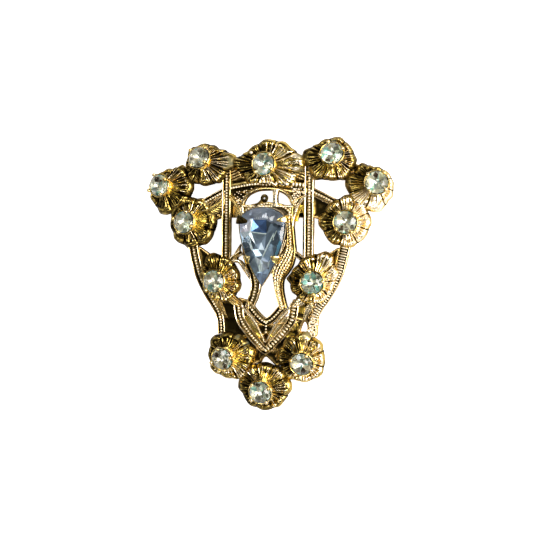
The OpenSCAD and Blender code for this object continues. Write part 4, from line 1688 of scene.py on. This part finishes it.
def bead_tree(name: str, kind: BeadKind) -> NodeTree:
    """Geometry Nodes that set beads or short bars along every line, or grains on every point.

    Args:
        name: name of the tree.
        kind: beads or bars along the lines of a curve object, or grains on a mesh's points.

    Returns:
        The tree, with Pitch, Bead Radius, Bar Length and Seed as inputs.
    """
    grains = kind == BeadKind.GRAIN
    segments, rings = (8, 5) if grains else (10, 6)
    bar_width, bar_height = 0.85 if kind == BeadKind.BAR else 0.8, 1.1
    least, most = 0.88, 1.1
    inputs = {"Geometry": ("Geometry", None), "Pitch": ("Float", 0.00052), "Bead Radius": ("Float", 0.0002),
              "Bar Length": ("Float", 0.00035), "Seed": ("Int", 1)}
    s, inner, outer = new_group(name, "GeometryNodeTree", inputs, {"Geometry": "Geometry"})
    given = inner.outputs
    bead = s.node("GeometryNodeMeshUVSphere", Segments=segments, Rings=rings, Radius=given["Bead Radius"])
    shape = s.node("GeometryNodeTransform", Geometry=bead.outputs["Mesh"])
    if kind in (BeadKind.BAR, BeadKind.RUNG):
        ratio = s.math("DIVIDE", given["Bar Length"], given["Bead Radius"])
        factors = s.node("ShaderNodeCombineXYZ", X=bar_width, Y=ratio, Z=bar_height)
        s.fill(shape, Scale=factors.outputs[0])
    points = s.node("GeometryNodeInstanceOnPoints", Instance=shape.outputs["Geometry"])
    if grains:
        s.fill(points, Points=given["Geometry"])
        radius = s.node("GeometryNodeInputNamedAttribute", data_type="FLOAT", Name=GRAIN)
    else:
        line = s.node("GeometryNodeResampleCurve", mode="LENGTH", Curve=given["Geometry"],
                      Length=given["Pitch"])
        tangent = s.node("GeometryNodeInputTangent")
        turn = s.node("FunctionNodeAlignRotationToVector", axis="X", pivot_axis="Z",
                      Vector=tangent.outputs[0])
        s.fill(points, Points=line.outputs["Curve"], Rotation=turn.outputs["Rotation"])
        radius = s.node("GeometryNodeInputRadius")
    chance = s.node("FunctionNodeRandomValue", Seed=given["Seed"])
    chance.inputs[2].default_value = least
    chance.inputs[3].default_value = most
    s.fill(points, Scale=s.math("MULTIPLY", radius.outputs[0], chance.outputs[1]))
    real = s.node("GeometryNodeRealizeInstances", Geometry=points.outputs["Instances"])
    smooth = s.node("GeometryNodeSetShadeSmooth", Geometry=real.outputs["Geometry"])
    paint = s.node("GeometryNodeSetMaterial", Geometry=smooth.outputs["Geometry"],
                   Material=Finish.BEADS.material())
    s.fill(outer, Geometry=paint.outputs["Geometry"])
    return s.tree


def grown(source: Object, kind: BeadKind, sizes: dict[str, float], name: str) -> Object:
    """Sets beads on an object by Geometry Nodes, and keeps the result as a plain mesh.

    Args:
        source: the object that carries them, removed afterwards.
        kind: what is set.
        sizes: the values of the tree's inputs, by name.
        name: name of the plain object.

    Returns:
        The plain object.
    """
    tree = bead_tree(name, kind)
    modifier = source.modifiers.new(name, "NODES")
    modifier.node_group = tree
    for item in tree.interface.items_tree:
        if item.in_out == "INPUT" and item.name in sizes:
            modifier[item.identifier] = sizes[item.name]
    graph = bpy.context.evaluated_depsgraph_get()
    mesh = bpy.data.meshes.new_from_object(source.evaluated_get(graph))
    source.modifiers.remove(modifier)
    bpy.data.objects.remove(source)
    mesh.name = name
    count = len(mesh.vertices)
    # Painted light: each bead's top is painted bright and its sides dark, by how far they face up
    store(mesh, PATINA_AND_LIGHT, np.clip(0.2 + 0.8 * read_vertices(mesh, "normal")[:, 2], 0, 1))
    store(mesh, RELIEF, np.full(count, 0.55))
    store(mesh, GILDING, np.zeros(count))
    return add_object(name, mesh)


@dataclass
class PearStone:
    """The pale blue pear stone in its cup, held by four flat claws."""

    half_w: float = 4.35
    head: float = 2.6
    tail: float = 11.5
    y: float = 8.1
    girdle_z: float = 2.8
    girdle_t: float = 0.2
    crown_h: float = 0.95
    depth: float = 1.75
    power: float = 1.85
    middle: float = -2.2
    table: float = 0.62
    kites: float = 0.84
    kite_h: float = 0.62
    steps: int = 6
    seed: int = 46
    keel_unevenness: float = 0.13
    keel: Sequence[Point] = ((-2.0, 8.5), (0.6, 8.5), (0.6, 6.1), (-2.4, 6.4), (2.4, 6.9), (-0.1, 1.7),
                             (-1.3, 1.8), (2.0, 2.2), (1.3, 4.3), (-1.5, 4.0), (3.0, 4.9), (-3.2, 7.3),
                             (-0.9, 7.2), (1.5, 8.0), (3.2, 7.4), (-3.2, 5.2), (-0.4, 4.4), (0.3, 3.0),
                             (-0.9, 3.1), (2.4, 3.6), (0.9, 0.9), (-0.8, 0.6), (0.2, -0.6), (-0.1, 9.7))
    # x, y, reach, half width, cleanness and gilding of each claw
    claws: Rows = ((-4.4, 8.5, 1.8, 0.85, -0.25, 0.0), (4.3, 8.6, 1.1, 0.62, 0.4, 0.6),
                   (-2.85, 1.3, 0.85, 0.8, 0.5, 1.0), (2.8, 1.3, 0.8, 0.75, 0.5, 1.0))
    # Both ends and the width of the narrow pale facets, painted highlights on the foil
    streaks: Rows = ((-2.15, 8.45, -2.5, 6.4, 0.2), (-2.3, 6.3, 0.5, 5.95, 0.16),
                     (2.3, 6.6, 0.0, 1.9, 0.18), (-0.45, 1.2, -0.35, -0.9, 0.14),
                     (1.2, 1.6, 0.8, -0.3, 0.12), (-2.7, 5.8, -1.9, 3.0, 0.12))
    # Foil colour round given places: the stone's blues and greys, laid out in light and dark patches as
    # painted reflections
    tints: Sequence[tuple[float, float, FoilTint]] = (
        (0.0, 10.0, FoilTint.LILAC), (2.2, 9.4, FoilTint.LILAC), (-2.2, 9.4, FoilTint.LILAC),
        (-0.6, 7.4, FoilTint.DEEP_BLUE), (1.6, 7.2, FoilTint.STEEL), (3.1, 6.4, FoilTint.SLATE),
        (-3.4, 7.2, FoilTint.LILAC), (-3.1, 5.6, FoilTint.MIST), (-2.2, 4.2, FoilTint.STEEL),
        (-0.6, 4.6, FoilTint.SLATE), (0.6, 3.6, FoilTint.MIST), (1.9, 4.4, FoilTint.STEEL),
        (3.0, 3.6, FoilTint.SKY), (-1.0, 2.4, FoilTint.SLATE), (1.3, 2.3, FoilTint.SLATE),
        (-0.9, 0.2, FoilTint.MIST), (0.6, 0.2, FoilTint.ICE), (0.0, -2.2, FoilTint.ICE),
    )

    def outline(self, grow: float = 0.0, share: float = 1.0, steps: int = 12) -> np.ndarray:
        """The pear's outline, anticlockwise from the middle of its round end.

        Args:
            grow: width added all round.
            share: size about the stone's middle.
            steps: points of a quarter.

        Returns:
            Its points.
        """
        w, tail, head = self.half_w + grow, self.tail + 1.6 * grow, self.head + grow
        left = [(-w * math.sin(math.pi / 2 * i / steps), head * math.cos(math.pi / 2 * i / steps))
                for i in range(steps)]
        left += [(-w * (1 - (i / steps) ** self.power), -tail * i / steps) for i in range(steps)]
        loop = left + [(0, -tail)] + [(-x, y) for x, y in reversed(left[1:])]
        points = np.array(loop)
        points[:, 1] = self.middle + (points[:, 1] - self.middle) * share
        points[:, 0] *= share
        points[:, 1] += self.y
        return points

    def ring(self, z: float, grow: float = 0.0, share: float = 1.0, steps: int = 12) -> np.ndarray:
        """The outline at a height."""
        flat = self.outline(grow, share, steps)
        return np.column_stack([flat, np.full(len(flat), z)])

    def pavilion(self, rim: np.ndarray) -> tuple[np.ndarray, list[Face], list[FoilTint]]:
        """The foiled back: long facets to a keel, with narrow pale ones between them.

        Args:
            rim: the lower ring of the girdle.

        Returns:
            The back's corners with the rim's first, its facets and their tints.
        """
        rng, uneven = np.random.default_rng(self.seed), self.keel_unevenness
        corners = [Vector(p[:2]) for p in rim]
        edges = [(i, (i + 1) % len(rim)) for i in range(len(rim))]
        corners += [Vector(spot) for spot in self.keel]
        for ax, ay, bx, by, wide in self.streaks:
            along = Vector((bx - ax, by - ay)).normalized() * wide / 2
            side = Vector((-along.y, along.x))
            first = len(corners)
            corners += [Vector((ax, ay)) + side, Vector((ax, ay)) - side, Vector((bx, by)) - side,
                        Vector((bx, by)) + side]
            edges += [(first + k, first + (k + 1) % 4) for k in range(4)]
        flat, _, facets, *_ = delaunay_2d_cdt(corners, edges, [], 1, 1e-4)
        flat = np.array([tuple(v) for v in flat])
        deep = np.array([np.linalg.norm(rim[:, :2] - p, axis=1).min() for p in flat])
        deep[:len(rim)] = 0
        deep[len(rim):] += rng.uniform(-uneven, uneven, len(flat) - len(rim))
        z = self.girdle_z - self.depth * (1 - (1 - np.clip(deep / 3.2, 0, 1)) ** 1.7)
        tints = []
        for facet in facets:
            middle = flat[list(facet)].mean(0)
            pale = any(self.on_streak(middle, row) for row in self.streaks)
            nearest = min(self.tints, key=lambda spot: float(np.sum((middle - spot[:2]) ** 2)))
            tints.append(FoilTint.LINE if pale else nearest[2])
        return np.column_stack([flat, z]), [tuple(f) for f in facets], tints

    def on_streak(self, place: np.ndarray, row: Row) -> bool:
        """Whether a place lies on a narrow pale facet.

        Args:
            place: x and y.
            row: both ends of the facet and its width.

        Returns:
            True if it does.
        """
        start, end = np.array(row[:2]), np.array(row[2:4])
        span = end - start
        share = np.clip(np.dot(place - start, span) / np.dot(span, span), 0, 1)
        return bool(np.linalg.norm(start + share * span - place) < row[4] / 2)

    def build_stone(self) -> None:
        """Makes the stone."""
        girdle = self.ring(self.girdle_z, steps=self.steps)
        top = self.ring(self.girdle_z + self.girdle_t, steps=self.steps)
        table = self.ring(self.girdle_z + self.crown_h, share=self.table, steps=self.steps)[::2]
        kites = self.ring(self.girdle_z + self.kite_h, share=self.kites, steps=self.steps)[1::2]
        back, foil, tints = self.pavilion(girdle)
        points = np.vstack([table, kites, top, girdle, back[len(girdle):]])
        low = 4 * len(table)
        faces = crown_faces(len(table)) + [tuple(low + i for i in f) for f in foil]
        stone = stone_piece("glass_pear", points, faces, tints, 0.0)
        dress(stone, "pale_blue_glass", "stone_pear", Finish.BLUE_GLASS, Finish.BLUE_FOIL)

    def build_setting(self) -> None:
        """Makes the cup and its claws."""
        parts = MeshParts()
        g = self.girdle_z
        # Height, width added all round, and size about the stone's middle
        rings = [self.ring(*row) for row in (
            (0.85, 0.0, 0.4), (g - 1.2, 0.0, 0.72), (g - 0.4, 0.0, 0.95), (g - 0.12, 0.06), (g - 0.02, 0.1),
            (g - 0.02, 0.2), (g - 0.1, 0.26), (g - 0.25, 0.25), (g - 0.8, 0.05), (1.5, 0, 0.84),
            (0.7, 0, 0.72), (0.42, 0, 0.7))]
        points, faces = closed_rings(rings)
        wall = np.full(len(points), -0.3)
        wall[3 * len(rings[0]):7 * len(rings[0])] = 0.55
        parts.add(points, faces, wall)
        for x, y, reach, wide, clean, gilding in self.claws:
            parts.add(*self.claw(x, y, reach, wide), clean, gilding)
        dress(parts.build("cup_pear", 45), "bright_brass", "setting_pear", Finish.CUPS)

    def claw(self, x: float, y: float, reach: float, wide: float) -> Solid:
        """One flat claw that folds over the girdle.

        Args:
            x: where it crosses the girdle, across.
            y: where it crosses the girdle, along.
            reach: how far it lies over the crown.
            wide: half its width.

        Returns:
            Its points and faces.
        """
        square = 0.6
        inward = np.array([-x, (self.y + self.middle - y) * 0.35])
        inward /= np.linalg.norm(inward)
        g = self.girdle_z
        # Place inwards from the girdle, height, half thickness, and share of the width
        line = np.array([(-0.12, g - 1.5, 0.12, 0.8), (-0.32, g - 0.9, 0.16, 1.0), (-0.4, g - 0.2, 0.17, 1.0),
                         (-0.34, g + 0.22, 0.17, 1.0), (-0.12, g + 0.5, 0.16, 0.98),
                         (reach * 0.5, g + 0.76, 0.15, 0.7), (reach, g + 1.0, 0.12, 0.3),
                         (reach + 0.1, g + 1.03, 0.05, 0.12)])
        cos, sin = np.cos(full_turn(16)), np.sin(full_turn(16))
        rings = []
        for (along, z, thick, width), (da, dz) in zip(line, headings(line)):
            w = wide * width * np.sign(sin) * np.abs(sin) ** square
            h = thick * np.sign(cos) * np.abs(cos) ** square
            place = along - dz * h
            rings.append(np.column_stack([x + inward[0] * place - inward[1] * w,
                                          y + inward[1] * place + inward[0] * w, z + da * h]))
        return closed_rings(rings)


@dataclass
class Clip:
    """The dress clip on the back: a bracket, two barrels, and a slotted lever with teeth."""

    x: float = -1.3
    sheet_t: float = 0.7
    lever_half_w: float = 8.7
    arm_w: float = 1.6
    bracket_w: float = 18.4
    bracket_y: float = 9.0
    bracket_h: float = 2.3
    barrel_y: float = 12.4
    barrel_r: float = 1.05
    ear_x: float = 5.6
    tip_y: float = -16.0
    round_r: float = 0.16
    barrel_sides: int = 40
    teeth: Row = (-1.3, 0.0, 1.3)
    tooth_half_w: float = 0.35
    tooth_l: float = 0.7
    tooth_gap: float = 0.5
    tooth_round_r: float = 0.15
    edge: Sequence[Point] = ((8.7, 13.0), (8.7, 0.0), (7.6, -6.0), (5.6, -10.4), (3.6, -13.4), (1.9, -16.0))
    slot: Sequence[Point] = ((7.1, 9.2), (7.1, 0.0), (6.0, -5.6), (4.2, -9.4), (2.4, -12.2))

    def top(self) -> float:
        """Height of the bracket's front, just under the plate."""
        return float(dome(self.lever_half_w + abs(self.x))) - PLATE_T - FIT_GAP

    def sheet(self, loops: Sequence[Sequence[Point]], low: float, high: float) -> Solid:
        """A flat sheet with rounded edges.

        Args:
            loops: its outline and its holes.
            low: height of its back.
            high: height of its front.

        Returns:
            Its points and faces.
        """
        data = bpy.data.curves.new("sheet", "CURVE")
        data.dimensions, data.fill_mode = "2D", "BOTH"
        data.extrude = (high - low) / 2 - self.round_r
        data.bevel_depth = self.round_r
        data.bevel_resolution = 3
        data.offset = -self.round_r
        for loop in loops:
            spline = data.splines.new("POLY")
            spline.points.add(len(loop) - 1)
            spline.use_cyclic_u = True
            for target, (x, y) in zip(spline.points, loop):
                target.co = (x, y, 0, 1)
        shape = add_object("sheet", data)
        graph = bpy.context.evaluated_depsgraph_get()
        mesh = bpy.data.meshes.new_from_object(shape.evaluated_get(graph))
        bpy.data.objects.remove(shape)
        merged = bmesh.new()
        merged.from_mesh(mesh)
        bmesh.ops.remove_doubles(merged, verts=merged.verts, dist=0.001)
        bmesh.ops.recalc_face_normals(merged, faces=merged.faces)
        points = np.array([v.co for v in merged.verts]) + [0, 0, (low + high) / 2]
        faces = [[v.index for v in f.verts] for f in merged.faces]
        merged.free()
        return points, faces

    def rounded_box(self, low: Row, high: Row, radius: float = 0.12) -> Solid:
        """A box with rounded edges.

        Args:
            low: its lowest corner.
            high: its highest corner.
            radius: radius of its edges.

        Returns:
            Its points and faces.
        """
        box = bmesh.new()
        bmesh.ops.create_cube(box, size=1)
        span = Vector(high) - Vector(low)
        bmesh.ops.scale(box, vec=span, verts=box.verts)
        bmesh.ops.translate(box, vec=(Vector(high) + Vector(low)) / 2, verts=box.verts)
        bmesh.ops.bevel(box, geom=box.edges[:], offset=min(radius, min(span) * 0.4), segments=3,
                        affect="EDGES", profile=0.5)
        box.verts.index_update()
        points = np.array([v.co for v in box.verts])
        faces = [[v.index for v in f.verts] for f in box.faces]
        box.free()
        return points, faces

    def barrel(self, start: float, end: float, z: float) -> Solid:
        """A rolled barrel with rounded ends and three knuckle grooves.

        Args:
            start: x of its one end.
            end: x of its other end.
            z: height of its axis.

        Returns:
            Its points and faces.
        """
        a = full_turn(self.barrel_sides)
        length = end - start
        # Share of the length, and of the radius
        stops = [(0.0, 0.55), (0.0, 0.9), (0.02, 0.97), (0.05, 1.0)]
        for cut in (1 / 3, 2 / 3):
            stops += [(cut - 0.03, 1.0), (cut - 0.015, 0.94), (cut + 0.015, 0.94), (cut + 0.03, 1.0)]
        stops += [(0.95, 1.0), (0.98, 0.97), (1.0, 0.9), (1.0, 0.55)]
        rings = [np.column_stack([np.full(self.barrel_sides, start + length * s),
                                  self.barrel_y + self.barrel_r * r * np.cos(a),
                                  z + self.barrel_r * r * np.sin(a)]) for s, r in stops]
        return closed_rings(rings, flip=True)

    def build(self) -> None:
        """Makes the clip's piece."""
        parts = MeshParts()
        top, floor = self.top(), -PLATE_Z
        ear_y, notch_y = self.edge[0][1], self.bracket_y + self.bracket_h
        outer = across(self.edge, centred=False) + [(-self.ear_x, ear_y), (-self.ear_x, notch_y),
                                                    (self.ear_x, notch_y), (self.ear_x, ear_y)]
        shells = [self.sheet([outer, across(self.slot, centred=False)], floor, floor + self.sheet_t)]
        barrel_z = top - self.barrel_r
        for side in (-1, 1):
            ends = sorted((side * self.ear_x, side * self.lever_half_w))
            shells.append(self.barrel(ends[0], ends[1], barrel_z))
            shells.append(self.rounded_box((ends[0], self.bracket_y, top - self.sheet_t),
                                           (ends[1], self.barrel_y, top)))
            arm = sorted((side * (self.lever_half_w - self.arm_w), side * self.lever_half_w))
            half = self.sheet_t / 2
            shells.append(self.rounded_box((arm[0], self.barrel_y - half, floor + half),
                                           (arm[1], self.barrel_y + half, barrel_z)))
        for x in self.teeth:
            shells.append(self.rounded_box((x - self.tooth_half_w, self.tip_y, floor),
                                           (x + self.tooth_half_w, self.tip_y + self.tooth_l,
                                            -PLATE_T - self.tooth_gap), self.tooth_round_r))
        # Painted shade and painted light: the clip and its bracket are painted dark on the left half and
        # bright on the right, as the light comes from the right
        for points, faces in shells:
            points = points + [self.x, 0, 0]
            parts.add(points, faces, np.where(points[:, 0] < 0, 0.15, 0.9))
        points, faces = self.rounded_box((-self.bracket_w / 2, self.bracket_y, top - self.sheet_t),
                                         (self.bracket_w / 2, self.bracket_y + self.bracket_h, top))
        parts.add(points, faces, np.where(points[:, 0] < 0, -0.1, 0.9))
        dress(parts.build("dress_clip", 35), "gilt_brass", "clip", Finish.CLIP)


@dataclass
class Brooch:
    """The whole brooch."""

    openwork: Openwork = field(default_factory=Openwork)
    cup: RoundCup = field(default_factory=RoundCup)
    cut: RoundCut = field(default_factory=RoundCut)
    pear: PearStone = field(default_factory=PearStone)
    clip: Clip = field(default_factory=Clip)
    flowers: Sequence[Flower] = (
        Flower("top", 0.05, 18.5, 4, 90, -37, 11, 0.15, 0, 0.95, 0.2, 160,
               (94, 5.0, 46, 5.5, 4, 7.2, -31, 6.2, -90, 3.7, -149, 5.2, 176, 7.0, 137, 4.9)),
        Flower("upper_left", -12.5, 19.25, 19, 108, -35, 12, 0.25, -60, 0.9, 0.02, 195,
               (179, 6.4, 128, 3.8, 80, 3.7, 40, 4.1, -10, 3.95, -55, 4.5, -98, 4.5, -138, 5.2)),
        Flower("upper_right", 12.5, 19.6, 19, 72, 20, 13, 0.8, -100, 0.88, 0.06, 165,
               (173, 6.1, 128, 4.2, 80, 4.1, 36, 3.75, -10, 4.2, -55, 4.5, -98, 4.1, -138, 5.2)),
        Flower("outer_left", -20.2, 14.8, 16, 162, 27, 14, 0.8, -10, 0.75, 0.0, 195,
               (176, 5.6, 132, 5.3, 98, 3.6, 48, 3.3, 4, 3.9, -36, 4.2, -82, 5.3, -130, 5.4)),
        Flower("outer_right", 20.2, 14.95, 16, 18, -40, 15, 0.2, 180, 0.8, 0.44, 125,
               (174, 5.8, 132, 4.9, 92, 3.3, 48, 3.05, 0, 3.1, -42, 3.7, -89, 5.05, -138, 5.6)),
        Flower("shoulder_left", -15.25, 8.1, 8, 180, -20, 16, 1.0, 0, 0.7, 0.02, 215,
               (172, 5.4, 124, 5.2, 84, 4.85, 32, 4.7, -8, 4.3, -50, 4.6, -92, 4.95, -138, 5.3)),
        Flower("shoulder_right", 15, 8.1, 8, 0, 35, 17, 0.2, 180, 0.92, 0.42, 205,
               (174, 5.4, 132, 4.9, 88, 5.1, 46, 4.6, 4, 4.5, -40, 4.3, -84, 4.6, -132, 4.8)),
        Flower("waist_left", -9.2, -2.8, 5, 190, -40, 18, 0.5, 5, 0.85, 0.12, 120,
               (156, 4.3, 112, 5.0, 68, 5.5, 22, 4.3, -22, 3.6, -70, 3.9, -122, 4.3, -166, 4.4)),
        Flower("waist_right", 9.2, -2.8, 5, -10, 10, 19, 0.2, 90, 0.97, 0.38, 190,
               (158, 4.9, 114, 5.1, 62, 6.1, 26, 4.9, -16, 3.8, -68, 3.95, -121, 4.4, -165, 4.8)),
        Flower("lower_left", -7.3, -16.5, 15, 243, 15, 20, 0.85, 5, 0.78, 0.14, 115,
               (174, 5.5, 127, 4.7, 87, 4.5, 47, 4.6, 0, 4.05, -42, 4.5, -90, 4.4, -136, 5.9)),
        Flower("lower_right", 7.25, -16.8, 18, -63, -30, 21, 0.25, 100, 0.86, 0.3, 175,
               (170, 5.2, 130, 5.1, 88, 5.2, 48, 4.7, 2, 4.0, -40, 4.25, -92, 4.2, -138, 4.9)),
        Flower("point", -0.1, -22.3, 14, -90, 35, 22, 0.6, 60, 0.88, 0.09, 205,
               (87, 4.85, 46, 5.15, 10, 5.35, -42, 4.4, -92, 4.2, -136, 4.5, 172, 5.25, 132, 5.1)),
    )

    def build(self) -> None:
        """Builds every piece."""
        self.openwork.build_webs()
        self.openwork.build_bands()
        self.openwork.build_beads()
        for flower in self.flowers:
            flower.build(self.cup, self.cut)
        self.pear.build_setting()
        self.pear.build_stone()
        self.clip.build()


@dataclass
class Studio:
    """The pale floor, the soft lights and the camera at the photograph's angle."""

    yaw: float = 18.0
    tilt: float = 0.2
    roll: float = 0.64
    distance: float = 0.229
    focal: float = 84.06
    sensor: float = 36.0
    look_at: Row = (0.0, ORIGIN_Y * MM, PLATE_Z * MM)
    floor_size: float = 3.0

    def camera(self) -> None:
        """Makes the camera and the scene's view of it."""
        yaw, tilt, roll = (math.radians(v) for v in (self.yaw, self.tilt, self.roll))
        back = Vector((math.sin(yaw) * math.cos(tilt), math.sin(tilt), math.cos(yaw) * math.cos(tilt)))
        right = Vector((0, 1, 0)).cross(back).normalized()
        up = back.cross(right)
        right, up = math.cos(roll) * right + math.sin(roll) * up, math.cos(roll) * up - math.sin(roll) * right
        data = bpy.data.cameras.new("camera")
        data.sensor_width, data.lens = self.sensor, self.focal
        data.clip_start, data.clip_end = 0.01, 10.0
        eye = add_object("camera", data)
        turn = Matrix((right, up, back)).transposed().to_4x4()
        eye.matrix_world = Matrix.Translation(Vector(self.look_at) + back * self.distance) @ turn
        bpy.context.scene.camera = eye

    def floor(self) -> None:
        """Makes the plain pale floor."""
        half = self.floor_size / 2
        mesh = bpy.data.meshes.new("floor")
        mesh.from_pydata([(-half, -half, 0), (half, -half, 0), (half, half, 0), (-half, half, 0)], [],
                         [(0, 1, 2, 3)])
        made, s, body = principled("pale floor", Base_Color=(0.9, 0.9, 0.9, 1), Roughness=0.9,
                                   Specular_IOR_Level=0.0, Emission_Color=(1, 1, 1, 1))
        s.fill(body, Emission_Strength=s.node("ShaderNodeLightPath").outputs["Is Camera Ray"])
        mesh.materials.append(made)
        add_object("floor", mesh)

    def lamp(self, name: str, at: Row, size: Row, power: float, colour: Row = (1, 1, 1)) -> None:
        """Makes one soft light that points at the brooch.

        Args:
            name: name of the light.
            at: its place, in metres.
            size: its width and height, in metres.
            power: its power in watts.
            colour: its colour.
        """
        data = bpy.data.lights.new(name, "AREA")
        data.shape = "RECTANGLE"
        data.size, data.size_y = size
        data.energy = power
        data.color = colour
        light = add_object(name, data)
        light.location = at
        aim = Vector(self.look_at) - Vector(at)
        light.rotation_euler = aim.to_track_quat("-Z", "Y").to_euler()

    def lights(self) -> None:
        """Makes the soft studio light: bright from the right, weaker from above and the left."""
        self.lamp("key softbox", (0.34, 0.03, 0.22), (0.24, 0.34), 3.8, (1.0, 0.945, 0.87))
        self.lamp("top softbox", (-0.10, 0.20, 0.38), (0.2, 0.10), 0.7)
        self.lamp("left strip", (-0.36, -0.04, 0.30), (0.04, 0.3), 0.2)
        self.lamp("low strip", (0.05, -0.36, 0.24), (0.3, 0.05), 0.4)
        world = bpy.data.worlds.new("studio")
        bpy.context.scene.world = world
        world.use_nodes = True
        NodeLines(world.node_tree).fill(world.node_tree.nodes["Background"], Color=(0.32, 0.30, 0.26, 1),
                                        Strength=0.2)
        bpy.context.scene.view_settings.view_transform = "Standard"


def main() -> None:
    """Builds the brooch and its studio."""
    logging.basicConfig(level=logging.INFO)
    Brooch().build()
    studio = Studio()
    studio.camera()
    studio.floor()
    studio.lights()


if __name__ == "__main__":
    main()
